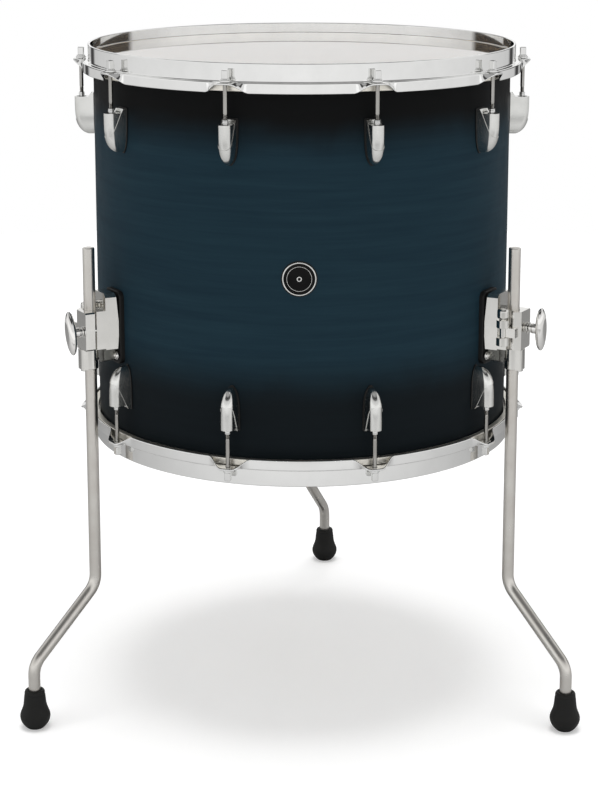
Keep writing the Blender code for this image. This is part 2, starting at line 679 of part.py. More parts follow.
def add_legs(axis, finishes):
    """Three brackets, each with its jaw, wing bolt, leg and foot."""
    base_mesh = build_bracket_base(finishes["bracket"])
    jaw_mesh = build_bracket_jaw(finishes["jaw"])
    bolt_mesh = build_wing_bolt(finishes["bolt"])
    foot_mesh = build_foot(finishes["rubber"])
    for side, (azimuth, foot_turn, wing_turn) in LEGS.items():
        place = outwards(azimuth) * SHELL_RADIUS
        place.z = BRACKET_MIDDLE
        base = add_object(side + "_bracket_base", base_mesh, axis, place,
                          (0.0, 0.0, math.radians(azimuth - 90.0)))
        jaw = add_object(side + "_bracket_jaw", jaw_mesh, base, (PIN_U, -PIN_SIDE, 0.0))
        shoulder = (JAW_FRONT + SEAT_GAP - PIN_U, BOLT_SIDE + PIN_SIDE, 0.0)
        add_object(side + "_wing_bolt", bolt_mesh, jaw, shoulder, (math.radians(wing_turn), 0.0, 0.0))
        leg = add_object(side + "_leg", build_leg(foot_turn, finishes["leg"]), base,
                         (LEG_STANDOFF, 0.0, 0.0))
        reach = Matrix.Rotation(math.radians(foot_turn), 3, "Z") @ Vector((LEG_REACH, 0.0, 0.0))
        reach.z = -BRACKET_MIDDLE
        add_object(side + "_foot", foot_mesh, leg, reach, (0.0, 0.0, math.radians(90.0 - azimuth)))


def main():
    clear_scene()
    finishes = {
        "lacquer": make_finish("blue_burst_lacquer", (0.012, 0.045, 0.065), 0.42, 0.0),
        "film": make_finish("head_film", (0.78, 0.74, 0.68), 0.25, 0.0),
        "hoop": make_finish("hoop_chrome", (0.80, 0.80, 0.79), 0.08, 1.0),
        "lug": make_finish("lug_chrome", (0.80, 0.80, 0.79), 0.10, 1.0),
        "rod": make_finish("rod_steel", (0.62, 0.61, 0.58), 0.20, 1.0),
        "bracket": make_finish("bracket_chrome", (0.72, 0.71, 0.69), 0.12, 1.0),
        "jaw": make_finish("jaw_chrome", (0.72, 0.71, 0.69), 0.12, 1.0),
        "bolt": make_finish("wing_bolt_chrome", (0.78, 0.77, 0.75), 0.10, 1.0),
        "leg": make_finish("leg_chrome", (0.66, 0.64, 0.61), 0.14, 1.0),
        "rubber": make_finish("foot_rubber", (0.018, 0.018, 0.017), 0.75, 0.0),
    }
    axis = add_empty("drum_axis", -footprint_middle())
    add_drum(axis, finishes)
    add_lugs(axis, finishes)
    add_legs(axis, finishes)
    bpy.context.view_layer.update()


main()
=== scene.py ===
import math

import bmesh
import bpy
from mathutils import Matrix, Vector


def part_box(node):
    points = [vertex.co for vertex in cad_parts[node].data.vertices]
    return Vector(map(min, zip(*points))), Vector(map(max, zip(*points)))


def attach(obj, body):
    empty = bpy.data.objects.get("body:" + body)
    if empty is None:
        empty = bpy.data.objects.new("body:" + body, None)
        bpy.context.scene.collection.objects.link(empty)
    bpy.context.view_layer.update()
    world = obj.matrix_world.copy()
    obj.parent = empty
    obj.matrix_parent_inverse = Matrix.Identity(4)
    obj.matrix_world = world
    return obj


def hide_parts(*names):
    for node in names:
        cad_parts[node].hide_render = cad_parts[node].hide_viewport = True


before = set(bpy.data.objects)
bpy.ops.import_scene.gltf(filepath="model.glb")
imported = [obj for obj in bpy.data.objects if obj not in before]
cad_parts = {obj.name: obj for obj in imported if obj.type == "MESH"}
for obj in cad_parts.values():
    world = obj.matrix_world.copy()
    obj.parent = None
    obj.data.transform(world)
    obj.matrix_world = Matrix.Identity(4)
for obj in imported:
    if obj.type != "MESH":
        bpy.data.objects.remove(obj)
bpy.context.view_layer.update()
print("frame loaded:", len(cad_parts), "nodes")

# All shapes are drawn in millimetres and scaled down when they are put in place.
mm = 0.001
shellLow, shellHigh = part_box("shell")
axis = (shellLow + shellHigh) / 2
shell = {
    "radius": (shellHigh.x - shellLow.x) / 2 / mm,
    "bottom": shellLow.z / mm,
    "top": shellHigh.z / mm,
    "middle": axis.z / mm,
    "wall": 6.4,
    "crownInset": 1.8,
    "outerCut": 2.2,
    "outerRound": 0.5,
    "crownRound": 0.35,
    "innerRound": 0.3,
    "steps": 240,
}


def around(azimuth, height, radius=shell["radius"], over=False):
    # u points out from the drum's axis, t towards growing azimuth, z up (down when turned over)
    turn = math.radians(azimuth)
    spot = Vector((axis.x + math.sin(turn) * radius * mm, axis.y - math.cos(turn) * radius * mm, height * mm))
    matrix = Matrix.Translation(spot) @ Matrix.Rotation(turn - math.pi / 2, 4, "Z")
    if over:
        matrix = matrix @ Matrix.Rotation(math.pi, 4, "X")
    return matrix @ Matrix.Scale(mm, 4)


def onAxis(height, over=False):
    matrix = Matrix.Translation((axis.x, axis.y, height * mm))
    if over:
        matrix = matrix @ Matrix.Rotation(math.pi, 4, "X")
    return matrix @ Matrix.Scale(mm, 4)


def shift(x=0.0, y=0.0, z=0.0):
    return Matrix.Translation((x, y, z))


def sines(angles):
    return [math.sin(math.radians(angle)) for angle in angles]


facingOut = Matrix.Rotation(math.pi / 2, 4, "Y")      # lays a shape's own z along u
facingSide = Matrix.Rotation(-math.pi / 2, 4, "X")    # lays a shape's own z along t


def cleaned(shape):
    bmesh.ops.remove_doubles(shape, verts=shape.verts[:], dist=0.0005)
    bmesh.ops.recalc_face_normals(shape, faces=shape.faces[:])
    return shape


def softened(shape, edges, offset, steps, affect="EDGES"):
    bmesh.ops.bevel(shape, geom=edges, offset=offset, segments=steps, profile=0.5, affect=affect, material=-1)


def moved(shape, matrix):
    bmesh.ops.transform(shape, matrix=matrix, verts=shape.verts[:])
    return shape


def roundCorners(shape, verts, points, steps):
    for rounding in sorted({point[-1] for point in points if point[-1] > 0}):
        corners = [vert for vert, point in zip(verts, points) if point[-1] == rounding]
        softened(shape, corners, rounding, steps, "VERTICES")


def turned(points, steps, arcSteps=4):
    # spins an outline of (radius, height, corner radius); an outline that meets the axis is closed there
    shape = bmesh.new()
    verts = [shape.verts.new((radius, 0, height)) for radius, height, _ in points]
    shape.faces.new(verts)
    roundCorners(shape, verts, points, arcSteps)
    bmesh.ops.delete(shape, geom=shape.faces[:], context="FACES_ONLY")
    onLine = [edge for edge in shape.edges if all(vert.co.x < 0.0001 for vert in edge.verts)]
    bmesh.ops.delete(shape, geom=onLine, context="EDGES")
    bmesh.ops.spin(shape, geom=shape.verts[:] + shape.edges[:], cent=(0, 0, 0), axis=(0, 0, 1),
                   angle=2 * math.pi, steps=steps, use_merge=True)
    return cleaned(shape)


def ringOutline(inner, outer, low, high, rounds):
    # the four corners of a washer or disc, for turned()
    corners = ((inner, low), (outer, low), (outer, high), (inner, high))
    return [(radius, height, rounding) for (radius, height), rounding in zip(corners, rounds)]


def slab(points, low, high, arcSteps=4):
    # a plate along u: its outline is (t, z, corner radius) and it runs from u = low to u = high
    shape = bmesh.new()
    verts = [shape.verts.new((low, t, z)) for t, z, _ in points]
    shape.faces.new(verts)
    roundCorners(shape, verts, points, arcSteps)
    grown = bmesh.ops.extrude_face_region(shape, geom=shape.faces[:])["geom"]
    front = [item for item in grown if isinstance(item, bmesh.types.BMVert)]
    bmesh.ops.translate(shape, verts=front, vec=(high - low, 0, 0))
    return cleaned(shape)


def block(low, high):
    shape = bmesh.new()
    size = Vector(high) - Vector(low)
    middle = (Vector(high) + Vector(low)) / 2
    bmesh.ops.create_cube(shape, size=1, matrix=shift(*middle) @ Matrix.Diagonal((*size, 1)))
    return shape


def rod(radius, low, high, sides, matrix=Matrix.Identity(4)):
    shape = bmesh.new()
    bmesh.ops.create_cone(shape, cap_ends=True, segments=sides, radius1=radius, radius2=radius,
                          depth=high - low, matrix=matrix @ shift(z=(low + high) / 2))
    return shape


def skinned(rings):
    # joins rings that have the same number of points, and closes both ends
    shape = bmesh.new()
    loops = []
    for ring in rings:
        verts = [shape.verts.new(point) for point in ring]
        loops.append([shape.edges.new((verts[n - 1], verts[n])) for n in range(len(verts))])
    for first, second in zip(loops, loops[1:]):
        bmesh.ops.bridge_loops(shape, edges=first + second)
    for loop in (loops[0], loops[-1]):
        bmesh.ops.contextual_create(shape, geom=loop)
    return cleaned(shape)


def addTo(shape, other, matrix=Matrix.Identity(4)):
    # puts a copy of another shape into a shape, as a body of its own
    mesh = bpy.data.meshes.new("carried")
    other.to_mesh(mesh)
    other.free()
    mesh.transform(matrix)
    shape.from_mesh(mesh)
    bpy.data.meshes.remove(mesh)
    return shape


def combined(shape, other, operation="UNION"):
    things = []
    for part in (shape, other):
        bmesh.ops.recalc_face_normals(part, faces=part.faces[:])
        mesh = bpy.data.meshes.new("working")
        part.to_mesh(mesh)
        part.free()
        things.append(bpy.data.objects.new("working", mesh))
        bpy.context.collection.objects.link(things[-1])
    cut = things[0].modifiers.new("cut", "BOOLEAN")
    cut.operation = operation
    cut.solver = "EXACT"
    cut.object = things[1]
    bpy.context.view_layer.update()
    result = bmesh.new()
    result.from_object(things[0], bpy.context.evaluated_depsgraph_get())
    for thing in things:
        mesh = thing.data
        bpy.data.objects.remove(thing)
        bpy.data.meshes.remove(mesh)
    bmesh.ops.dissolve_limit(result, angle_limit=math.radians(0.5), verts=result.verts[:],
                             edges=result.edges[:])
    return result


def carved(shape, *cutters):
    for cutter in cutters:
        shape = combined(shape, cutter, "DIFFERENCE")
    return shape


def toMesh(shape, sharpAngle=35):
    cleaned(shape)
    mesh = bpy.data.meshes.new("form")
    shape.to_mesh(mesh)
    shape.free()
    mesh.shade_smooth()
    mesh.set_sharp_from_angle(angle=math.radians(sharpAngle))
    return mesh


def put(mesh, name, matrix, body, finishes, stands=(), edge=0, smoothing=0, edgeSteps=2):
    # a copy of a mesh becomes a piece: set in place, finished and riding on its body
    piece = bpy.data.objects.new(name, mesh.copy())
    bpy.context.collection.objects.link(piece)
    piece.data.transform(matrix)
    for finish in finishes:
        piece.data.materials.append(finish)
    if edge:
        rounding = piece.modifiers.new("edges", "BEVEL")
        rounding.width = edge * mm
        rounding.segments = edgeSteps
        rounding.limit_method = "ANGLE"
        rounding.angle_limit = math.radians(35)
        rounding.loop_slide = False
    if smoothing:
        finer = piece.modifiers.new("smoothing", "SUBSURF")
        finer.levels = smoothing
        finer.render_levels = smoothing
    else:
        # large flat faces keep their own direction beside small rounded edges
        steady = piece.modifiers.new("steady", "WEIGHTED_NORMAL")
        steady.keep_sharp = True
    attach(piece, body)
    if stands:
        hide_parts(*stands)
    return piece


# Shader groups: each puts out a value that changes over the surface
def newGroup(name, inputs, outputs):
    group = bpy.data.node_groups.new(name, "ShaderNodeTree")
    for label, kind, value in inputs:
        socket = group.interface.new_socket(name=label, in_out="INPUT", socket_type=kind)
        if value is not None:
            socket.default_value = value
    for label, kind in outputs:
        group.interface.new_socket(name=label, in_out="OUTPUT", socket_type=kind)
    start = group.nodes.new("NodeGroupInput")
    end = group.nodes.new("NodeGroupOutput")
    return group, start, end


def feed(tree, value, target):
    # joins another node's output, or sets a plain value
    if isinstance(value, bpy.types.NodeSocket):
        tree.links.new(value, target)
    else:
        target.default_value = value


def addNode(tree, kind, **values):
    node = tree.nodes.new(kind)
    for key, value in values.items():
        if key in node.inputs:
            feed(tree, value, node.inputs[key])
        else:
            setattr(node, key, value)
    return node


def mathNode(tree, operation, *values):
    node = addNode(tree, "ShaderNodeMath", operation=operation)
    for socket, value in zip(node.inputs, values):
        feed(tree, value, socket)
    return node.outputs[0]


def noiseNode(tree, vector, **values):
    return addNode(tree, "ShaderNodeTexNoise", Vector=vector, **values).outputs["Fac"]


def partsNode(tree, vector):
    return addNode(tree, "ShaderNodeSeparateXYZ", Vector=vector).outputs


def spanNode(tree, source, fromLow, fromHigh, toLow, toHigh, smooth=False):
    node = addNode(tree, "ShaderNodeMapRange", interpolation_type="SMOOTHSTEP" if smooth else "LINEAR")
    for key, value in (("Value", source), ("From Min", fromLow), ("From Max", fromHigh), ("To Min", toLow),
                       ("To Max", toHigh)):
        feed(tree, value, node.inputs[key])
    return node.outputs["Result"]


def mixNode(tree, factor, first, second):
    node = addNode(tree, "ShaderNodeMix", data_type="RGBA")
    for index, value in ((0, factor), (6, first), (7, second)):
        feed(tree, value, node.inputs[index])
    return node.outputs[2]


def polishGroup():
    # a smooth finish that is a little hazier in places, with hairline marks
    group, start, end = newGroup("polish", [
        ("Vector", "NodeSocketVector", None), ("Gloss", "NodeSocketFloat", 0.04),
        ("Haze", "NodeSocketFloat", 0.10), ("Bright", "NodeSocketColor", (0.8, 0.8, 0.8, 1)),
        ("Dull", "NodeSocketColor", (0.7, 0.7, 0.7, 1))],
        [("Roughness", "NodeSocketFloat"), ("Color", "NodeSocketColor")])
    given = start.outputs
    cloud = noiseNode(group, given["Vector"], Scale=38.0, Detail=3.0, Roughness=0.6)
    fine = noiseNode(group, given["Vector"], Scale=420.0, Detail=2.0, Roughness=0.7)
    both = mathNode(group, "MULTIPLY_ADD", fine, 0.35, cloud)
    feed(group, spanNode(group, both, 0.45, 0.90, given["Gloss"], given["Haze"]), end.inputs["Roughness"])
    tone = spanNode(group, cloud, 0.35, 0.70, 0.0, 1.0)
    feed(group, mixNode(group, tone, given["Bright"], given["Dull"]), end.inputs["Color"])
    return group


def grainGroup():
    # wood figure: long fibres and slower flame across them, from 0 to 1
    group, start, end = newGroup("grain", [
        ("Vector", "NodeSocketVector", None), ("Along", "NodeSocketFloat", 9.0),
        ("Across", "NodeSocketFloat", 160.0)], [("Fibre", "NodeSocketFloat"), ("Flame", "NodeSocketFloat")])
    given = start.outputs
    scale = addNode(group, "ShaderNodeCombineXYZ", X=given["Along"], Y=given["Along"], Z=given["Across"])
    stretched = addNode(group, "ShaderNodeVectorMath", operation="MULTIPLY")
    feed(group, given["Vector"], stretched.inputs[0])
    feed(group, scale.outputs["Vector"], stretched.inputs[1])
    fibre = noiseNode(group, stretched.outputs["Vector"], Scale=1.0, Detail=5.0, Roughness=0.62, Distortion=0.35)
    flame = noiseNode(group, given["Vector"], Scale=13.0, Detail=3.0, Roughness=0.55, Distortion=0.8)
    feed(group, fibre, end.inputs["Fibre"])
    feed(group, flame, end.inputs["Flame"])
    return group


polish = polishGroup()
grain = grainGroup()


def newFinish(name, **values):
    finish = bpy.data.materials.new(name)
    finish.use_nodes = True
    tree = finish.node_tree
    shader = tree.nodes["Principled BSDF"]
    for key, value in values.items():
        shader.inputs[key.replace("_", " ")].default_value = value
    place = addNode(tree, "ShaderNodeTexCoord")
    return finish, tree, shader, place.outputs["Object"]


def useGroup(tree, group, vector, **values):
    node = addNode(tree, "ShaderNodeGroup")
    node.node_tree = group
    feed(tree, vector, node.inputs["Vector"])
    for key, value in values.items():
        node.inputs[key].default_value = value
    return node.outputs


def addPolish(tree, shader, place, bright, dull, gloss, haze):
    marks = useGroup(tree, polish, place, Gloss=gloss, Haze=haze, Bright=(*bright, 1), Dull=(*dull, 1))
    feed(tree, marks["Color"], shader.inputs["Base Color"])
    feed(tree, marks["Roughness"], shader.inputs["Roughness"])


def addRelief(tree, shader, height, strength, distance):
    relief = addNode(tree, "ShaderNodeBump", Strength=strength, Distance=distance, Height=height)
    feed(tree, relief.outputs["Normal"], shader.inputs["Normal"])


def metalFinish(name, bright, dull, gloss, haze):
    finish, tree, shader, place = newFinish(name, Metallic=1.0)
    addPolish(tree, shader, place, bright, dull, gloss, haze)
    return finish


def rubberFinish(name, colour, worn, gloss, haze, poreScale, poreDepth):
    finish, tree, shader, place = newFinish(name, Specular_IOR_Level=0.25)
    addPolish(tree, shader, place, colour, worn, gloss, haze)
    addRelief(tree, shader, noiseNode(tree, place, Scale=poreScale, Detail=2.0), 0.35, poreDepth)
    return finish


lacquer = {
    "dark": (0.0083, 0.0087, 0.0090, 1),
    "blue": (0.0180, 0.0430, 0.0600, 1),
    "deepBlue": (0.0135, 0.0325, 0.0480, 1),
    "upperClear": 0.618, "upperDark": 0.668,     # heights where the upper burst starts and ends
    "lowerClear": 0.428, "lowerDark": 0.366, "lowerShare": 0.85,
    "drift": 0.020,     # how far the figure moves those heights
    "gloss": 0.36, "haze": 0.47,
}
figureRange = (0.30, 0.72)      # the wood fibre values that run from pale to dark


def lacquerFinish():
    # a satin burst over wood: blue across the middle, nearly black at both ends
    finish, tree, shader, place = newFinish("blueBurstLacquer", Specular_IOR_Level=0.022)
    wood = useGroup(tree, grain, place, Along=7.0, Across=150.0)
    drifted = mathNode(tree, "MULTIPLY_ADD", wood["Flame"], lacquer["drift"], partsNode(tree, place)["Z"])
    level = mathNode(tree, "ADD", drifted, -lacquer["drift"] / 2)
    upper = spanNode(tree, level, lacquer["upperClear"], lacquer["upperDark"], 0.0, 1.0, True)
    lower = spanNode(tree, level, lacquer["lowerClear"], lacquer["lowerDark"], 0.0, lacquer["lowerShare"], True)
    burst = mathNode(tree, "MAXIMUM", upper, lower)
    figure = spanNode(tree, wood["Fibre"], *figureRange, 0.0, 1.0)
    stained = mixNode(tree, figure, lacquer["blue"], lacquer["deepBlue"])
    feed(tree, mixNode(tree, burst, stained, lacquer["dark"]), shader.inputs["Base Color"])
    marks = useGroup(tree, polish, place, Gloss=lacquer["gloss"], Haze=lacquer["haze"])
    feed(tree, marks["Roughness"], shader.inputs["Roughness"])
    addRelief(tree, shader, wood["Fibre"], 0.05, 0.0004)
    return finish


maple = {"pale": (0.74, 0.56, 0.36, 1), "dark": (0.60, 0.42, 0.24, 1), "glue": (0.30, 0.17, 0.08, 1),
         "ply": 0.00107}


def mapleFinish():
    # the bare inside of the shell, with the plies showing on the bearing edges
    finish, tree, shader, place = newFinish("mapleInside", Specular_IOR_Level=0.3)
    wood = useGroup(tree, grain, place, Along=8.0, Across=210.0)
    timber = mixNode(tree, spanNode(tree, wood["Fibre"], *figureRange, 0.0, 1.0), maple["pale"], maple["dark"])
    fromAxis = addNode(tree, "ShaderNodeMapping", Vector=place, Location=(-axis.x, -axis.y, 0),
                       Scale=(1, 1, 0))
    reach = addNode(tree, "ShaderNodeVectorMath", operation="LENGTH")
    feed(tree, fromAxis.outputs["Vector"], reach.inputs[0])
    layer = mathNode(tree, "PINGPONG", reach.outputs["Value"], maple["ply"])
    line = spanNode(tree, layer, 0.0, maple["ply"] * 0.25, 1.0, 0.0)
    feed(tree, mixNode(tree, line, timber, maple["glue"]), shader.inputs["Base Color"])
    feed(tree, spanNode(tree, wood["Flame"], 0.3, 0.7, 0.40, 0.52), shader.inputs["Roughness"])
    return finish


def filmFinish():
    # clear polyester film with the faintest haze
    finish, tree, shader, place = newFinish("clearFilm", Transmission_Weight=1.0, IOR=1.6)
    addPolish(tree, shader, place, (0.97, 0.97, 0.95), (0.94, 0.94, 0.92), 0.0, 0.03)
    return finish


def enamelFinish():
    finish, tree, shader, place = newFinish("badgeEnamel", Specular_IOR_Level=0.06, Coat_Weight=0.04,
                                            Coat_Roughness=0.05)
    addPolish(tree, shader, place, (0.006, 0.006, 0.006), (0.010, 0.010, 0.010), 0.12, 0.22)
    return finish


blueBurst = lacquerFinish()
mapleInside = mapleFinish()
clearFilm = filmFinish()
badgeEnamel = enamelFinish()
hoopChrome = metalFinish("hoopChrome", (0.87, 0.87, 0.86), (0.83, 0.83, 0.82), 0.03, 0.07)
lugChrome = metalFinish("lugChrome", (0.76, 0.76, 0.74), (0.70, 0.70, 0.68), 0.14, 0.24)
keyChrome = metalFinish("keyChrome", (0.82, 0.82, 0.81), (0.76, 0.76, 0.75), 0.03, 0.08)
rodSteel = metalFinish("rodSteel", (0.44, 0.43, 0.41), (0.37, 0.36, 0.34), 0.14, 0.24)
ringMetal = metalFinish("ringMetal", (0.90, 0.87, 0.80), (0.84, 0.81, 0.73), 0.34, 0.46)
bracketChrome = metalFinish("bracketChrome", (0.80, 0.79, 0.76), (0.74, 0.73, 0.70), 0.07, 0.14)
wingChrome = metalFinish("wingChrome", (0.84, 0.83, 0.81), (0.78, 0.77, 0.75), 0.05, 0.11)
legChrome = metalFinish("legChrome", (0.71, 0.69, 0.65), (0.64, 0.61, 0.57), 0.27, 0.35)
# darker metal for the low faces of the bracket tail: painted shade in the recesses round the mount screws
tailShadeMetal = metalFinish("tailShadeMetal", (0.30, 0.30, 0.28), (0.24, 0.24, 0.22), 0.22, 0.34)
blackSteel = metalFinish("blackSteel", (0.05, 0.05, 0.05), (0.03, 0.03, 0.03), 0.30, 0.45)
footRubber = rubberFinish("footRubber", (0.009, 0.009, 0.0085), (0.014, 0.014, 0.013), 0.50, 0.68, 900.0,
                          0.0003)
# black rubber pads under the lugs, brackets and badge; each pad's rim beyond its part also serves as painted
# contact shade on the shell
shadePadRubber = rubberFinish("shadePadRubber", (0.006, 0.006, 0.006), (0.010, 0.010, 0.010), 0.45, 0.60, 700.0,
                            0.0002)
print("finishes made")

# Camera: the photograph's view
view = {"back": 2132.22, "side": 5.66, "height": 922.64, "down": 11.297, "turn": 0.152, "lens": 88.067,
        "shiftX": -0.002984, "shiftY": -0.2}
cameraData = bpy.data.cameras.new("studioCamera")
cameraData.lens = view["lens"]
cameraData.sensor_width = 36
cameraData.shift_x = view["shiftX"]
cameraData.shift_y = view["shiftY"]
cameraData.clip_end = 100
camera = bpy.data.objects.new("studioCamera", cameraData)
camera.location = (axis.x + view["side"] * mm, axis.y - view["back"] * mm, view["height"] * mm)
camera.rotation_euler = (math.radians(90 - view["down"]), 0, math.radians(view["turn"]))
bpy.context.collection.objects.link(camera)
bpy.context.scene.camera = camera


# Shell: lacquered outside, bare maple inside and on the bearing edges
def makeShell():
    crown = shell["radius"] - shell["crownInset"]
    inside = shell["radius"] - shell["wall"]
    rise = crown - inside
    half = (shell["top"] - shell["bottom"]) / 2
    upper = [(shell["radius"], half - shell["outerCut"], shell["outerRound"]),
             (crown, half, shell["crownRound"]), (inside, half - rise, shell["innerRound"])]
    tube = turned(upper + [(radius, -height, rounding) for radius, height, rounding in upper[::-1]],
                  shell["steps"], 3)
    for face in tube.faces:
        reach = face.calc_center_median().to_2d().length
        face.material_index = 0 if reach > shell["radius"] - 0.2 else 1
    put(toMesh(tube, 50), "shellTube", onAxis(shell["middle"]), "drum",
        (blueBurst, mapleInside), ["shell"])


makeShell()

# Heads: clear film with its collar, held in a metal ring
head = {
    "film": 0.5, "seat": 0.3, "collarClear": 1.6, "bend": 3.4, "depth": 9.5, "ringWidth": 6.5, "ringHeight": 7.0,
    "tuck": 2.0, "slot": 2.2, "clear": 0.1, "ringEdge": 1.0, "slotEdge": 0.4,
}
head["top"] = shell["top"] + head["seat"] + head["film"]
head["collar"] = shell["radius"] + head["collarClear"]


def makeHeads():
    collar = head["collar"]
    outer, far, clear = collar + head["film"], collar + head["ringWidth"], head["clear"]
    ringTop = -head["depth"]
    ringLow = ringTop - head["ringHeight"]
    film = turned([
        (0, 0, 0), (outer, 0, head["bend"]), (outer, ringTop - head["tuck"], 0),
        (collar, ringTop - head["tuck"], 0),
        (collar, -head["film"], head["bend"] - head["film"]), (0, -head["film"], 0),
    ], shell["steps"], 6)
    ring = turned([
        (outer + clear, ringTop, head["slotEdge"]), (far, ringTop, head["ringEdge"]),
        (far, ringLow, head["ringEdge"]), (collar + clear, ringLow, head["slotEdge"]),
        (collar + clear, ringTop - head["slot"], 0), (outer + clear, ringTop - head["slot"], 0),
    ], shell["steps"], 3)
    filmMesh = toMesh(film, 30)
    ringMesh = toMesh(ring, 40)
    for name, node, height, over in (("batter", "batter_head", head["top"], False),
                                     ("resonant", "resonant_head", 2 * shell["middle"] - head["top"], True)):
        put(filmMesh, name + "Film", onAxis(height, over), "drum", (clearFilm,), [node])
        put(ringMesh, name + "Ring", onAxis(height, over), "drum", (ringMetal,), [node])


makeHeads()
print("shell and heads made")

# Lugs and rods: ten for each head, the first one 18 degrees right of the front
row = {"count": 10, "first": 18.0, "standoff": 14.5, "lugTop": shell["top"] - 48.0}
lugAzimuths = [row["first"] + 360.0 / row["count"] * number for number in range(row["count"])]


def rowPlaces(level, radius):
    # where each lug or rod goes: the top row at this level, and the bottom row turned over
    for rowName, over in (("top", False), ("bottom", True)):
        height = 2 * shell["middle"] - level if over else level
        for number, azimuth in enumerate(lugAzimuths, 1):
            yield rowName, "{:02d}".format(number), around(azimuth, height, radius, over)


# Hoops: a band, a flange and a skirt that lifts into an ear at each rod
hoop = {
    "bandInner": head["collar"] + head["film"] + 0.8, "band": 2.5, "rise": 11.45, "height": 29.4,
    "flangeWidth": 6.4, "sheet": 2.3, "flat": 1.3, "wave": 5.5, "steps": 540, "holeRadius": 3.0,
    "rimRound": 1.1, "shoulder": 1.6, "lipRound": 0.9, "fillet": 0.8, "drill": 5.0,
}
hoop["bandOuter"] = hoop["bandInner"] + hoop["band"]
hoop["skirtOuter"] = hoop["bandOuter"] + hoop["flangeWidth"]
hoop["skirtInner"] = hoop["skirtOuter"] - hoop["sheet"]
hoop["flangeBottom"] = 0.3 - head["depth"] - hoop["rise"]
hoop["flangeTop"] = hoop["flangeBottom"] + hoop["sheet"]
hoop["earTip"] = shell["radius"] + row["standoff"] + 7.7
hoop["rim"] = head["top"] + hoop["rise"]


def shareOf(value, start, end):
    # how far a value has come from start to end, held between 0 and 1
    return min(max((value - start) / (end - start), 0), 1)


def earLift(azimuth):
    # 1 at a rod, 0 between the ears
    spacing = 360.0 / row["count"]
    off = abs((azimuth - row["first"] + spacing / 2) % spacing - spacing / 2)
    share = shareOf(off, hoop["wave"], hoop["flat"])
    return share * share * (3 - 2 * share)


def liftSkirt(shape):
    inner, outer, tip, sheet = (hoop[key] for key in ("skirtInner", "skirtOuter", "earTip", "sheet"))
    low, bottom, top = -hoop["height"], hoop["flangeBottom"], hoop["flangeTop"]
    for vert in shape.verts:
        reach = vert.co.to_2d().length
        if reach < inner - 0.01:
            continue
        lift = earLift(math.degrees(math.atan2(vert.co.x, -vert.co.y)))
        across = min((reach - inner) / sheet, 1)
        onTop = min(max(across, (vert.co.z - bottom) / sheet), 1)
        outerReach = outer + (tip - outer) * shareOf(vert.co.z, top, low)
        innerReach = inner + (tip - inner) * shareOf(vert.co.z, bottom, low)
        earReach = innerReach + (outerReach - innerReach) * across
        earHeight = bottom + sheet * onTop
        newReach = reach + (earReach - reach) * lift
        vert.co.x *= newReach / reach
        vert.co.y *= newReach / reach
        vert.co.z += (earHeight - vert.co.z) * lift


def makeHoops():
    inner, outer, rim, lip = (hoop[key] for key in ("skirtInner", "skirtOuter", "rimRound", "lipRound"))
    low, bottom, top = -hoop["height"], hoop["flangeBottom"], hoop["flangeTop"]
    profile = turned([
        (hoop["bandInner"], 0, rim), (hoop["bandOuter"], 0, rim), (hoop["bandOuter"], top, lip),
        (outer, top, hoop["shoulder"]), (outer, low, lip), (inner, low, lip), (inner, bottom, 0),
        (hoop["bandInner"], bottom, hoop["fillet"]),
    ], hoop["steps"], 4)
    runs = [edge for edge in profile.edges if abs(edge.verts[0].co.z - edge.verts[1].co.z) > 4
            and edge.verts[0].co.to_2d().length > inner - 0.1]
    bmesh.ops.subdivide_edges(profile, edges=runs, cuts=3, use_grid_fill=True)
    liftSkirt(profile)
    holes = bmesh.new()
    reach = shell["radius"] + row["standoff"]
    for azimuth in lugAzimuths:
        turn = math.radians(azimuth)
        drill = rod(hoop["holeRadius"], bottom - hoop["drill"], top + hoop["drill"], 24)
        addTo(holes, drill, shift(math.sin(turn) * reach, -math.cos(turn) * reach))
    mesh = toMesh(carved(profile, holes), 40)
    for name, place in (("top", onAxis(hoop["rim"])), ("bottom", onAxis(2 * shell["middle"] - hoop["rim"], True))):
        put(mesh, name + "HoopRing", place, "drum", (hoopChrome,), [name + "_hoop"])


makeHoops()
print("hoops made")

lug = {
    "length": 41.5, "lip": 3.8, "front": 22.9, "half": 7.4, "wall": 2.3, "step": 0.55, "tubeBack": 6.0,
    "edge": 0.3,
    # how the pod tapers: the share of its front that is left at the tip, and the curve's two powers
    "tipShare": 0.24, "taper": 4, "roundness": 0.556, "thinnest": 0.4, "levels": 15, "arcStep": 10,
    "podEnd": 0.992, "hollowEnd": 0.8, "tubeEnd": 0.75,
    "recess": 5.3, "recessOut": 14.9, "recessDepth": 9.0, "screws": (-9.0, -29.0),
    # the pad under the lug and how far it shows round it: black rubber whose rim is painted contact shade
    "gasket": 1.0, "shadeMargin": 1.1, "gasketShares": (0.3, 0.55, 0.72, 0.85, 0.93, 0.98), "gasketTip": 1.6,
    # the slanted cut that frees the tube from the pod: (u, z, corner radius)
    "cut": [(30, -25.2, 0), (21.5, -25.2, 2), (17.2, -21.8, 3), (12.4, -12.2, 0), (6.6, 0.4, 2), (4.0, 4.6, 0),
            (4.0, 12, 0), (30, 12, 0)],
    "cutHalf": 12.0,
}
# outlines of turned fasteners: (radius, height, corner radius)
swivelNut = [(2.25, -16, 0), (3.6, -16, 0.4), (3.6, -3, 0.5), (2.7, -2.4, 0.2), (2.7, 1.2, 0.1), (3.15, 1.5, 0.2),
             (3.15, 2.9, 0.25), (2.75, 3.1, 0.1), (2.75, 3.5, 0.1), (3.1, 3.7, 0.2), (3.1, 4.7, 0.35),
             (2.25, 4.7, 0.2)]
lugScrew = [(0, 0, 0), (4.6, 0, 0.2), (4.6, 0.9, 0.25), (3.3, 1.1, 0.2), (3.3, 3.0, 0.7), (0, 3.4, 0)]


def lugSwell(share):
    # how full the lug still is at a share of its length
    return (1 - share ** lug["taper"]) ** lug["roundness"]


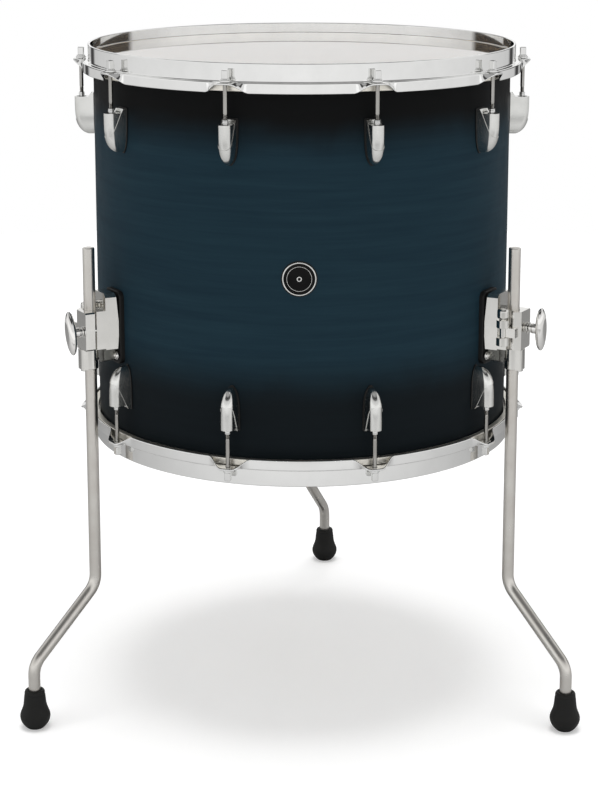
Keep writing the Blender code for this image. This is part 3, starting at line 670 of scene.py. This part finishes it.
def lugRing(share, inset=0.0, level=None, back=None):
    # the pod's outline across the lug: a round front, and straight sides back to the shell
    swell = lugSwell(share)
    front = lug["front"] * (lug["tipShare"] + (1 - lug["tipShare"]) * swell) - inset
    half = max(lug["half"] * swell - inset, lug["thinnest"])
    back = back or lug["gasket"] + inset
    height = -lug["length"] * share if level is None else level
    side = []
    for angle in range(0, 91, lug["arcStep"]):
        turn = math.radians(angle)
        side.append((front - half + half * math.cos(turn), half * math.sin(turn), height))
    side += [((front - half + back) / 2, half, height), (back, half, height)]
    return side + [(u, -t, z) for u, t, z in side[:0:-1]]


def makeCasing():
    angles = [90 * step / lug["levels"] for step in range(lug["levels"] + 1)]
    shares = [lug["podEnd"] * sine for sine in sines(angles)]
    pod = skinned([lugRing(0, level=lug["lip"])] + [lugRing(share) for share in shares])
    hollow = skinned([lugRing(0, lug["wall"], lug["lip"] + 4)] +
                     [lugRing(share, lug["wall"]) for share in shares if share < lug["hollowEnd"]])
    cut = slab(lug["cut"], -lug["cutHalf"], lug["cutHalf"], 6)
    pod = carved(pod, hollow, moved(cut, Matrix.Rotation(-math.pi / 2, 4, "Z")))
    tube = skinned([lugRing(share, lug["step"], back=lug["tubeBack"]) for share in shares
                    if share < lug["tubeEnd"]])
    casing = combined(pod, tube)
    recess = rod(lug["recess"], -lug["recessDepth"], 3, 36, shift(lug["recessOut"]))
    return toMesh(carved(casing, recess), 32)


def makeLugs():
    casing = makeCasing()
    # each lug sits on a black rubber pad a little wider than it; the rim round the lug is painted contact shade
    margin = lug["shadeMargin"]
    half = [(lug["half"] + margin, lug["lip"] + margin, 1.5)]
    for share in lug["gasketShares"]:
        half.append((lug["half"] * lugSwell(share) + margin, -lug["length"] * share, 0))
    half.append((lug["gasketTip"], -lug["length"] - margin, lug["gasketTip"] / 2))
    outline = half + [(-t, z, rounding) for t, z, rounding in half[::-1]]
    pad = toMesh(slab(outline, 0.05, lug["gasket"]), 40)
    nut = toMesh(turned(swivelNut, 24, 2), 40)
    screw = toMesh(turned(lugScrew, 12, 2), 40)
    for name, tag, place in rowPlaces(row["lugTop"], shell["radius"]):
        put(casing, name + "LugCasing" + tag, place, "drum", (lugChrome,), [name + "_lug_" + tag],
            edge=lug["edge"])
        put(pad, name + "LugShadePad" + tag, place, "drum", (shadePadRubber,))
        put(nut, name + "SwivelNut" + tag, place @ shift(row["standoff"]), "drum", (keyChrome,))
        for letter, drop in zip("ab", lug["screws"]):
            inward = place @ shift(-shell["wall"], 0, drop) @ facingOut.inverted()
            put(screw, name + "LugScrew" + tag + letter, inward, "drum", (rodSteel,))


makeLugs()
print("lugs made")

tension = {
    "radius": 2.2, "root": 1.8, "pitch": 1.06, "threadTop": -31.0, "end": -63.2,
    "washerRadius": 5.5, "washer": 1.8, "washerEdge": 0.35, "bore": 2.45, "boreEdge": 0.1,
    "flangeRadius": 4.6, "flange": 1.7, "flangeEdge": 0.3, "key": 6.35, "keyHeight": 8.3, "keyCorner": 1.1,
    "keyRim": 0.9,
}
tension["seat"] = hoop["rim"] + hoop["flangeTop"] + 0.3


def makeRods():
    radius, root, pitch = tension["radius"], tension["root"], tension["pitch"]
    foot = tension["washer"]
    ledge = foot + tension["flange"]
    outline = [(0, tension["end"], 0), (root, tension["end"], 0)]
    turns = int((tension["threadTop"] - tension["end"]) / pitch) - 1
    for number in range(turns):
        level = tension["end"] + pitch * (number + 0.6)
        outline += [(radius, level, 0), (root, level + pitch / 2, 0)]
    half, flange, flangeEdge = tension["key"] / 2, tension["flangeRadius"], tension["flangeEdge"]
    outline += [(radius, tension["threadTop"], 0), (radius, foot, 0), (flange, foot, flangeEdge),
                (flange, ledge - 0.5, flangeEdge), (half, ledge, 0), (0, ledge, 0)]
    shank = turned(outline, 16, 2)
    key = block((-half, -half, ledge - 0.1), (half, half, ledge + tension["keyHeight"]))
    upright = [edge for edge in key.edges if abs(edge.verts[0].co.z - edge.verts[1].co.z) > 1]
    softened(key, upright, tension["keyCorner"], 4)
    rim = [edge for edge in key.edges if all(vert.co.z > ledge + 1 for vert in edge.verts)]
    softened(key, rim, tension["keyRim"], 3)
    addTo(shank, key)
    for face in shank.faces:
        face.material_index = 1 if face.calc_center_median().z > foot - 0.01 else 0
    whole = toMesh(shank, 40)
    edges = (tension["boreEdge"], tension["washerEdge"], tension["washerEdge"], tension["boreEdge"])
    outline = ringOutline(tension["bore"], tension["washerRadius"], 0, foot - 0.1, edges)
    washer = toMesh(turned(outline, 32, 2), 40)
    for name, tag, place in rowPlaces(tension["seat"], shell["radius"] + row["standoff"]):
        node = name + "_rod_" + tag
        put(whole, name + "TensionRod" + tag, place, node, (rodSteel, keyChrome), [node])
        put(washer, name + "RodWasher" + tag, place, node, (keyChrome,), [node])


makeRods()
print("rods made")

# Badge: a bare black disc in a silver ring, with the air vent's eyelet in the middle
badge = {
    "azimuth": -0.5, "backRadius": 18.2, "back": 0.6, "radius": 17.2, "ringInner": 15.8, "ringLow": 0.55,
    "ringHigh": 1.7, "face": 15.85, "faceHigh": 1.1, "domeRadius": 8.0, "dome": 1.3, "line": (12.3, 12.7),
    "eyelet": 2.6, "vent": 1.5, "eyeletHigh": 1.75,
}


def bentToShell(shape):
    for vert in shape.verts:
        vert.co.x += math.sqrt(shell["radius"] ** 2 - vert.co.y ** 2) - shell["radius"]
    return shape


def makeBadge():
    place = around(badge["azimuth"], shell["middle"])
    back, dome, face = badge["back"], badge["dome"], badge["face"]
    forms = {
        "badgeBack": ringOutline(0, badge["backRadius"], 0.02, back, (0, 0.2, 0.3, 0)),
        "badgeRing": ringOutline(badge["ringInner"], badge["radius"], badge["ringLow"], badge["ringHigh"],
                                 (0.1, 0.3, 0.6, 0.5)),
        "badgeFace": [(0, back, 0), (face, back, 0), (face, badge["faceHigh"], 0.3),
                      (badge["domeRadius"], dome - 0.05, 2), (0, dome, 0)],
        "badgeLine": ringOutline(*badge["line"], badge["faceHigh"], dome, (0, 0, 0.08, 0.08)),
        "ventEyelet": ringOutline(badge["vent"], badge["eyelet"], 1.0, badge["eyeletHigh"], (0.2, 0, 0.3, 0.3)),
    }
    # the black back disc shows a thin rim round the silver ring: a rubber backing whose rim is also painted contact
    # shade
    dark = {"badgeBack": shadePadRubber, "badgeFace": badgeEnamel}
    for name, outline in forms.items():
        form = bentToShell(moved(turned(outline, 72, 3), facingOut))
        put(toMesh(form, 35), name, place, "drum",
            (dark.get(name, lugChrome),))


makeBadge()

# Leg brackets: a base on the shell, a hinged jaw in front of the leg, a wing bolt that closes it
bracket = {
    "middle": shell["bottom"] + 128.3,
    # the black rubber pad under the base; its rim round the base is painted contact shade
    "gasket": 5.2, "shadeMargin": 1.2, "gasketCorner": 7.0, "gasketRound": 1.6,
    "halfWidth": 16.6, "height": 38.2, "corner": 4.0, "tail": 4.0, "draft": 0.0052, "depth": 19.6,
    "clamp": 20.5, "farSide": 16.5, "farCorner": 1.5, "legOut": 30.8, "bore": 6.7, "split": 2.6,
    "jawDepth": 10.8, "jawNear": 12.0, "jawSlope": 4.0, "jawFace": 45.1, "jawLedge": 35.2, "legSide": -7.2,
    "recessIn": 10.2, "recessOut": 6.3, "recessTop": -21.7, "backTilt": 5.0, "flatBack": 8.0,
    "screwSide": 13.4, "screwLevel": -29.6, "edge": 0.5,
    "pinOut": 26.8, "pinSide": 17.5, "pinRadius": 2.4, "pinTip": 1.4, "pinRing": 1.6,
    "headRadius": 6.2, "headHeight": 10.5, "headGap": 2.0,
    "knuckle": 6.8, "upper": 8.0, "lower": 8.4, "knuckleGap": 0.3, "jawKnuckle": 3.4, "jawTall": 10.2,
    "jawMiddle": -0.8, "armOut": 8.5, "bolt": 11.5,
}
bracket["jawLow"] = bracket["jawMiddle"] - bracket["jawTall"] / 2
bracket["jawHigh"] = bracket["jawMiddle"] + bracket["jawTall"] / 2
bracket["slotLow"] = bracket["jawLow"] - bracket["knuckleGap"]
bracket["slotHigh"] = bracket["jawHigh"] + bracket["knuckleGap"]
pinPlace = shift(bracket["pinOut"], -bracket["pinSide"])
# for each bracket: its azimuth, the way that its leg splays and the tilt of its wing, in degrees
sides = {"left": (-60.0, 7.7, 15.0), "right": (60.0, -12.0, 0.0), "back": (180.0, -21.7, -25.0)}


def legBore():
    return rod(bracket["bore"], -60, 60, 48, shift(bracket["legOut"]))


def makeBase():
    wide, high, cut = bracket["halfWidth"], bracket["height"], bracket["corner"]
    tail, tailLow, inner = bracket["recessIn"], bracket["tail"] - high, bracket["gasket"]
    outline = [(-wide, tailLow), (-wide, high - cut), (-wide + cut, high), (wide - cut, high), (wide, high - cut),
               (wide, tailLow), (tail, tailLow), (0, -high), (-tail, tailLow)]
    base = slab([(t, z, 0) for t, z in outline], inner, bracket["depth"])
    clamp = bracket["clamp"]
    front = bracket["legOut"] - bracket["split"] / 2
    base = combined(base, block((inner + 1, -wide, -clamp), (front, wide, clamp)))
    for vert in base.verts:      # the sides lean in towards the front
        vert.co.y *= 1 - bracket["draft"] * (vert.co.x - inner)
    for near, far in ((tail, wide + 1), (-wide - 1, -tail)):      # room for the lower screws
        room = block((bracket["recessOut"], near, -high - 1), (bracket["depth"] + 1, far, bracket["recessTop"]))
        base = carved(base, room)
    low, high = bracket["slotLow"], bracket["slotHigh"]
    base = carved(base, block((bracket["depth"], -26, low), (36, -bracket["jawNear"], high)), legBore())
    for way in (1, -1):      # the back falls away from the shell towards both ends
        tilt = Matrix.Rotation(math.radians(bracket["backTilt"] * way), 4, "Y")
        spare = block((-12, -30, min(0, 60 * way)), (0, 30, max(0, 60 * way)))
        base = carved(base, moved(spare, shift(inner, 0, bracket["flatBack"] * way) @ tilt))
    # the tail's faces below the screw recesses take the darker metal: painted shade in the recesses
    for face in base.faces:
        face.material_index = 1 if face.calc_center_median().z < bracket["recessTop"] - 1.5 else 0
    for bottom, top in ((high, high + bracket["upper"]), (low - bracket["lower"], low)):
        addTo(base, rod(bracket["knuckle"], bottom, top, 32, pinPlace))
    return toMesh(base, 30)


def makeJaw():
    clamp, near, far = bracket["clamp"], -bracket["jawNear"], bracket["farSide"]
    back = bracket["legOut"] + bracket["split"] / 2
    front = back + bracket["jawDepth"]
    slope, chamfer = bracket["jawSlope"], bracket["farCorner"]
    outline = [(near, -clamp), (near, clamp), (far - chamfer, clamp), (far, clamp - chamfer),
               (far, chamfer - clamp), (far - chamfer, -clamp)]
    jaw = slab([(t, z, 0) for t, z in outline], back, front)
    corner = block((-slope, -slope, -30), (slope, slope, 30))
    jaw = carved(jaw, moved(corner, shift(front, near) @ Matrix.Rotation(math.pi / 4, 4, "Z")),
                 block((0, near - 1, -30), (bracket["jawLedge"], bracket["legSide"], 30)))
    low, high, pinOut, pinSide = (bracket[key] for key in ("jawLow", "jawHigh", "pinOut", "pinSide"))
    arm = block((pinOut + 0.5, -pinSide, low), (back + bracket["armOut"], near + 3, high))
    arm = carved(arm, block((0, -30, low - 1), (pinOut + 3.2, 1.5 - pinSide, high + 1)),
                 block((0, near + 0.4, low - 1), (back, 0, high + 1)))
    jaw = combined(combined(jaw, arm), rod(bracket["jawKnuckle"], low, high, 32, pinPlace))
    pinHole = rod(bracket["pinRadius"] + 0.2, low - 5, high + 5, 24, pinPlace)
    return toMesh(carved(jaw, pinHole, legBore()), 30)


def makePin():
    top = bracket["slotHigh"] + bracket["upper"]
    tip = bracket["slotLow"] - bracket["lower"] - bracket["pinTip"]
    radius, wide = bracket["pinRadius"], bracket["headRadius"]
    ring = radius + bracket["pinRing"]
    headLow = top + bracket["headGap"]
    headTop = headLow + bracket["headHeight"]
    return toMesh(turned([
        (0, tip, 0), (radius, tip, 0.4), (radius, top, 0), (ring, top, 0.1), (ring, top + 0.9, 0.2),
        (radius, top + 1.1, 0), (radius, headLow, 0.1), (wide - 0.7, headLow, 0.3), (wide, headLow + 1.2, 0.3),
        (wide, headTop - 2.6, 0.6), (wide - 1.4, headTop - 0.6, 0.6), (0, headTop, 0),
    ], 32, 3), 35)


wing = {
    "bolt": 2.5, "depth": 16.0, "stem": 5.5, "stemLow": 2.4, "stemLength": 7.0, "groove": 1.2,
    "washer": 6.2, "washerLow": -2.0, "washerThick": 1.1,
    "coil": 4.3, "wire": 0.62, "coilSteps": 54, "coilTurns": 1.9,
    "thick": 10.0, "half": 23.0, "wide": 9.0, "points": 24,
    # the wing across its thickness: (share of the thickness, share of the full outline)
    "slices": [(0.10, 0.58), (0.16, 0.72), (0.30, 0.91), (0.45, 0.985), (0.60, 1.0), (0.74, 0.94), (0.87, 0.80),
               (0.96, 0.62), (1.0, 0.44)],
}


def makeSpring():
    # a flat washer with a short spring on it, under the wing bolt
    shape = bmesh.new()
    low = wing["washerLow"]
    high, bore = low + wing["washerThick"], wing["bolt"] + 0.3
    level = high + 0.1 + wing["wire"]
    place = shift(wing["coil"], 0, level) @ Matrix.Rotation(math.pi / 2, 4, "X")
    bmesh.ops.create_circle(shape, cap_ends=True, segments=8, radius=wing["wire"], matrix=place)
    rise = (wing["stemLow"] - level - wing["wire"]) / wing["coilSteps"]
    bmesh.ops.spin(shape, geom=shape.verts[:] + shape.edges[:] + shape.faces[:], cent=(0, 0, 0),
                   axis=(0, 0, 1), dvec=(0, 0, rise), angle=2 * math.pi * wing["coilTurns"],
                   steps=wing["coilSteps"])
    washer = ringOutline(bore, wing["washer"], low, high, (0.1, 0.3, 0.3, 0.1))
    return toMesh(addTo(shape, turned(washer, 32, 2)), 40)


def makeWing():
    # its own z runs outwards, and the long way of the wing is its x
    bolt, outer, depth = wing["bolt"], wing["stem"], wing["depth"]
    start, end = wing["stemLow"] + 0.1, wing["stemLength"] + 2.5
    groove = outer - wing["groove"]
    stem = turned([
        (0, -depth, 0), (bolt, -depth, 0.4), (bolt, start, 0), (outer, start, 0.3), (outer, start + 1.1, 0.2),
        (groove, start + 1.3, 0.1), (groove, start + 1.9, 0.1), (outer, start + 2.1, 0.2), (outer - 0.4, end, 0),
        (0, end, 0)], 32, 2)
    turns = [2 * math.pi * step / wing["points"] for step in range(wing["points"])]
    rings = [[(wing["half"] * size * math.cos(turn), wing["wide"] * size * math.sin(turn),
               wing["stemLength"] + wing["thick"] * share) for turn in turns]
             for share, size in wing["slices"]]
    return toMesh(addTo(stem, skinned(rings)), 40)


# a domed drum screw with its washer, as an outline of (radius, height, corner radius)
mountScrew = [(0, 0, 0), (4.3, 0, 0.2), (4.3, 0.9, 0.3), (3.5, 1.0, 0.2), (3.5, 2.6, 0.8), (1.6, 3.2, 0.3),
              (1.4, 2.2, 0.1), (0, 2.2, 0)]
legShape = {"radius": 6.35, "top": 514.4, "bend": 143.6, "splay": 46.8, "reach": 78.6, "bendRadius": 26.0,
            "end": 12.3, "rimRound": 1.3, "sides": 40, "bendSteps": 14}


def makeLeg(footTurn):
    # its own z = 0 is the floor, and it runs down from its top along its own axis
    shape = bmesh.new()
    splay = math.radians(legShape["splay"])
    turn = math.radians(footTurn)
    way = Vector((math.cos(turn), math.sin(turn), 0))
    down = Vector((0, 0, -1))
    slope = way * math.sin(splay) + down * math.cos(splay)
    cut = legShape["bendRadius"] * math.tan(splay / 2)
    spot = Vector((0, 0, legShape["top"]))
    bmesh.ops.create_circle(shape, segments=legShape["sides"], radius=legShape["radius"], matrix=shift(*spot))
    topLoop = shape.edges[:]

    def runTo(edges, target, spot):
        grown = bmesh.ops.extrude_edge_only(shape, edges=edges)["geom"]
        verts = {item for item in grown if isinstance(item, bmesh.types.BMVert)}
        bmesh.ops.translate(shape, verts=list(verts), vec=target - spot)
        newEdges = [item for item in grown if isinstance(item, bmesh.types.BMEdge) and set(item.verts) <= verts]
        return newEdges, target

    def bendRound(edges, spot, heading, line):
        hub = spot + line.cross(heading) * legShape["bendRadius"]
        verts = list({vert for edge in edges for vert in edge.verts})
        last = bmesh.ops.spin(shape, geom=verts + edges, cent=hub, axis=line, angle=splay,
                              steps=legShape["bendSteps"])["geom_last"]
        turnedSpot = hub + Matrix.Rotation(splay, 3, line) @ (spot - hub)
        return [item for item in last if isinstance(item, bmesh.types.BMEdge)], turnedSpot

    line = down.cross(way)
    loop, spot = runTo(topLoop, Vector((0, 0, legShape["bend"] + cut)), spot)
    loop, spot = bendRound(loop, spot, down, line)
    loop, spot = runTo(loop, spot + slope * (legShape["reach"] / math.sin(splay) - 2 * cut), spot)
    loop, spot = bendRound(loop, spot, slope, -line)
    loop, spot = runTo(loop, Vector((spot.x, spot.y, legShape["end"])), spot)
    for ends in (topLoop, loop):
        bmesh.ops.contextual_create(shape, geom=[edge for edge in ends if edge.is_valid])
    rim = [edge for edge in shape.edges if all(vert.co.z > legShape["top"] - 0.01 for vert in edge.verts)]
    softened(shape, rim, legShape["rimRound"], 4)
    return toMesh(shape, 50)


lock = {"radius": 8.1, "low": 383.9, "high": 406.6, "lowRound": 1.2, "highRound": 0.9, "slotHalf": 0.5, "edge": 0.3,
        "earOut": 12.4, "earSide": 5.6, "earRound": 1.8, "screwOut": -5.0, "screwRadius": 1.9, "screwHalf": 6.8}
lock["screwPlace"] = shift(lock["screwOut"], 0, (lock["low"] + lock["high"]) / 2)


def makeLock():
    # a ring round the leg with a split ear on its outer side
    low, high = lock["low"], lock["high"]
    rounds = (0, lock["lowRound"], lock["highRound"], 0)
    collar = turned(ringOutline(0, lock["radius"], low, high, rounds), 48, 3)
    ear = block((0, -lock["earSide"], low), (lock["earOut"], lock["earSide"], high))
    outside = [edge for edge in ear.edges if all(vert.co.x > 1 for vert in edge.verts)]
    softened(ear, outside, lock["earRound"], 4)
    slot = lock["slotHalf"]
    gap = block((legShape["radius"] - 3, -slot, low - 1), (lock["earOut"] + 1, slot, high + 1))
    drill = rod(lock["screwRadius"], -12, 12, 20, lock["screwPlace"] @ facingSide)
    bore = rod(legShape["radius"] + 0.05, low - 5, high + 5, 40)
    return toMesh(carved(combined(collar, ear), bore, gap, drill), 35)


# the rubber foot, as an outline of (radius, height, corner radius) that ends in its socket
footOutline = [
    (0, 0, 0), (9.0, 0, 0.8), (12.5, 3.6, 1.6), (15.2, 7.8, 2), (16.3, 12.8, 2), (15.8, 16.0, 1.6),
    (14.5, 19.4, 1.6), (13.1, 22.8, 1.5), (12.2, 26.6, 1.5), (11.6, 32.5, 2), (11.1, 37.2, 0.6),
    (10.6, 37.9, 0.3), (10.9, 38.8, 0.4), (10.6, 41.2, 1.0), (9.4, 42.5, 0.8), (7.4, 42.1, 0.7),
    (6.45, 40.6, 0.6), (6.45, 12.0, 0), (0, 12.0, 0)]


# a black rubber pad under each bracket base, wider than the base; the rim round the base is painted contact shade
def makeBracketShadePad():
    wide, tall = (bracket[key] + bracket["shadeMargin"] for key in ("halfWidth", "height"))
    corner = bracket["gasketCorner"]
    pad = slab([(-wide, -tall, corner), (-wide, tall, corner), (wide, tall, corner), (wide, -tall, corner)],
               0, bracket["gasket"], 5)
    rim = [edge for edge in pad.edges if abs(edge.verts[0].co.x - edge.verts[1].co.x) < 0.01
           and edge.verts[0].co.x > 1]
    softened(pad, rim, bracket["gasketRound"], 3)
    bmesh.ops.bisect_plane(pad, geom=pad.verts[:] + pad.edges[:] + pad.faces[:], plane_co=(0, 0, 0),
                           plane_no=(0, 1, 0))
    return toMesh(bentToShell(pad), 35)


def makeLegSets():
    base, jaw, pin, gasket, wingBolt = makeBase(), makeJaw(), makePin(), makeBracketShadePad(), makeWing()
    spring, collar, screw = makeSpring(), makeLock(), toMesh(turned(mountScrew, 28, 3), 40)
    rubber = toMesh(turned(footOutline, 48, 3), 60)
    setScrew = toMesh(rod(lock["screwRadius"] - 0.15, -lock["screwHalf"], lock["screwHalf"], 20, facingSide), 35)
    for side, (azimuth, footTurn, wingTurn) in sides.items():
        place = around(azimuth, bracket["middle"])
        baseNode, wingBody, legBody = [side + "_bracket_base"], side + "_wing_bolt", side + "_leg"
        chrome = (bracketChrome,)
        put(base, side + "BracketBase", place, "drum", (bracketChrome, tailShadeMetal), baseNode,
            edge=bracket["edge"], edgeSteps=3)
        put(pin, side + "HingePin", place @ pinPlace, "drum", chrome, baseNode)
        put(gasket, side + "BracketShadePad", place, "drum", (shadePadRubber,))
        for number, t in (("1", bracket["screwSide"]), ("2", -bracket["screwSide"])):
            outer = place @ shift(bracket["recessOut"] + 0.05, t, bracket["screwLevel"]) @ facingOut
            put(screw, side + "MountScrew" + number, outer, "drum", (wingChrome,))
            inner = place @ shift(-shell["wall"] - 0.4, t, bracket["screwLevel"]) @ facingOut.inverted()
            put(screw, side + "InnerScrew" + number, inner, "drum", (rodSteel,))
        put(jaw, side + "BracketJaw", place, side + "_jaw", chrome, [side + "_bracket_jaw"],
            edge=bracket["edge"], edgeSteps=3)
        tilt = Matrix.Rotation(math.radians(wingTurn), 4, "X")
        boltPlace = place @ (shift(bracket["jawFace"], bracket["bolt"]) @ tilt) @ facingOut
        put(wingBolt, side + "WingBolt", boltPlace, wingBody, (wingChrome,), [wingBody])
        put(spring, side + "WingBoltSpring", boltPlace, wingBody, (wingChrome,))
        legPlace = around(azimuth, 0, shell["radius"] + bracket["legOut"])
        put(makeLeg(footTurn), side + "Leg", legPlace, legBody, (legChrome,), [legBody])
        put(collar, side + "MemoryLock", legPlace, legBody, chrome, [legBody],
            edge=lock["edge"])
        put(setScrew, side + "SetScrew", legPlace @ lock["screwPlace"], legBody, (blackSteel,))
        reach = Matrix.Rotation(math.radians(footTurn), 4, "Z") @ shift(legShape["reach"])
        put(rubber, side + "RubberFoot", legPlace @ reach, legBody, (footRubber,),
            [side + "_foot"])


makeLegSets()
print("legs made")

# Studio: a white floor that keeps the drum's shadow, soft light from straight above, and a pale sky
studio = {
    "floorRadius": 2.6, "floor": 0.85, "lift": 0.318, "sun": 1.26, "sunAngle": 25.0, "sky": 0.62,
    # the floor as polished surfaces see it, darker towards the back
    "floorNear": 0.82, "floorFar": 0.30, "nearEnd": -1.2, "farEnd": 0.9, "floorFront": 0.44, "frontEnd": -2.4,
    # what polished surfaces see of the room: (degrees from straight behind, brightness)
    "low": [(0, 0.06), (18.5, 0.06), (20.5, 0.5), (24.5, 0.5), (26.5, 0.06), (32, 0.06), (36, 0.62), (90, 0.80),
            (180, 0.93)],
    "high": [(0, 1.00), (23, 0.96), (27, 0.05), (64, 0.05), (69, 0.85), (110, 1.10)],
    "wall": 0.80, "ceiling": 0.05, "zenith": 0.40,
    # where those blend: by sine of height, by share of a half turn, and by degrees of height
    "horizon": (-0.01, 0.03), "wallRise": (0.21, 0.32), "liftTurn": (0.55, 0.67), "ceilingLift": 0.20,
    "ceilingRise": (29.0, 38.0), "zenithRise": (50.0, 60.0),
}


def rampNode(tree, source, stops):
    node = addNode(tree, "ShaderNodeValToRGB", Fac=source)
    ramp = node.color_ramp
    while len(ramp.elements) < len(stops):
        ramp.elements.new(0.5)
    for element, (turn, value) in zip(ramp.elements, stops):
        element.position = turn / 180
        element.color = (value, value, value, 1)
    return node.outputs["Color"]


def makeStudio():
    shape = bmesh.new()
    bmesh.ops.create_circle(shape, cap_ends=True, segments=128, radius=studio["floorRadius"])
    floorMesh = bpy.data.meshes.new("studioFloor")
    shape.to_mesh(floorMesh)
    shape.free()
    floor = bpy.data.objects.new("studioFloor", floorMesh)
    bpy.context.collection.objects.link(floor)
    paper, tree, shader, place = newFinish("floorPaper", Roughness=0.9, Specular_IOR_Level=0.0)
    shader.inputs["Emission Color"].default_value = (1, 1, 1, 1)
    path = addNode(tree, "ShaderNodeLightPath").outputs
    seen = mathNode(tree, "MAXIMUM", path["Is Camera Ray"], path["Is Transmission Ray"])
    feed(tree, spanNode(tree, seen, 0.0, 1.0, 0.0, studio["lift"]), shader.inputs["Emission Strength"])
    back = partsNode(tree, place)["Y"]
    behind = spanNode(tree, back, studio["nearEnd"], studio["farEnd"], studio["floorNear"], studio["floorFar"])
    ahead = spanNode(tree, back, studio["frontEnd"], studio["nearEnd"], studio["floorFront"], studio["floorNear"])
    mirrored = mathNode(tree, "MINIMUM", behind, ahead)
    plain = (studio["floor"],) * 3 + (1,)
    feed(tree, mixNode(tree, path["Is Glossy Ray"], plain, mirrored), shader.inputs["Base Color"])
    floorMesh.materials.append(paper)

    lampData = bpy.data.lights.new("overheadLight", "SUN")
    lampData.energy = studio["sun"]
    lampData.angle = math.radians(studio["sunAngle"])
    lamp = bpy.data.objects.new("overheadLight", lampData)
    lamp.location = (axis.x, axis.y, 3)
    lamp.visible_glossy = False
    bpy.context.collection.objects.link(lamp)

    world = bpy.data.worlds.new("studioSky")
    world.use_nodes = True
    bpy.context.scene.world = world
    tree = world.node_tree
    background = tree.nodes["Background"]
    parts = partsNode(tree, addNode(tree, "ShaderNodeTexCoord").outputs["Generated"])
    spread = mathNode(tree, "ABSOLUTE", mathNode(tree, "ARCTAN2", parts["X"], parts["Y"]))
    turn = spanNode(tree, spread, 0.0, math.pi, 0.0, 1.0)
    below = spanNode(tree, parts["Z"], *studio["horizon"], 1.0, 0.0)
    upper = spanNode(tree, parts["Z"], *studio["wallRise"], 0.0, 1.0, True)
    walls = mixNode(tree, upper, rampNode(tree, turn, studio["high"]), (studio["wall"],) * 3 + (1,))
    room = mixNode(tree, below, walls, rampNode(tree, turn, studio["low"]))
    # the dark ceiling comes down lower in front than behind
    level = mathNode(tree, "SUBTRACT", parts["Z"],
                     spanNode(tree, turn, *studio["liftTurn"], studio["ceilingLift"], 0.0, True))
    above = spanNode(tree, level, *sines(studio["ceilingRise"]), 0.0, 1.0, True)
    top = spanNode(tree, parts["Z"], *sines(studio["zenithRise"]), studio["ceiling"], studio["zenith"], True)
    path = addNode(tree, "ShaderNodeLightPath").outputs
    plain = spanNode(tree, path["Is Camera Ray"], 0.0, 1.0, studio["sky"], 1.0)
    tone = mixNode(tree, above, room, top)
    feed(tree, mixNode(tree, path["Is Glossy Ray"], plain, tone), background.inputs["Color"])


makeStudio()
bpy.context.scene.view_settings.view_transform = "Standard"
print("studio made")
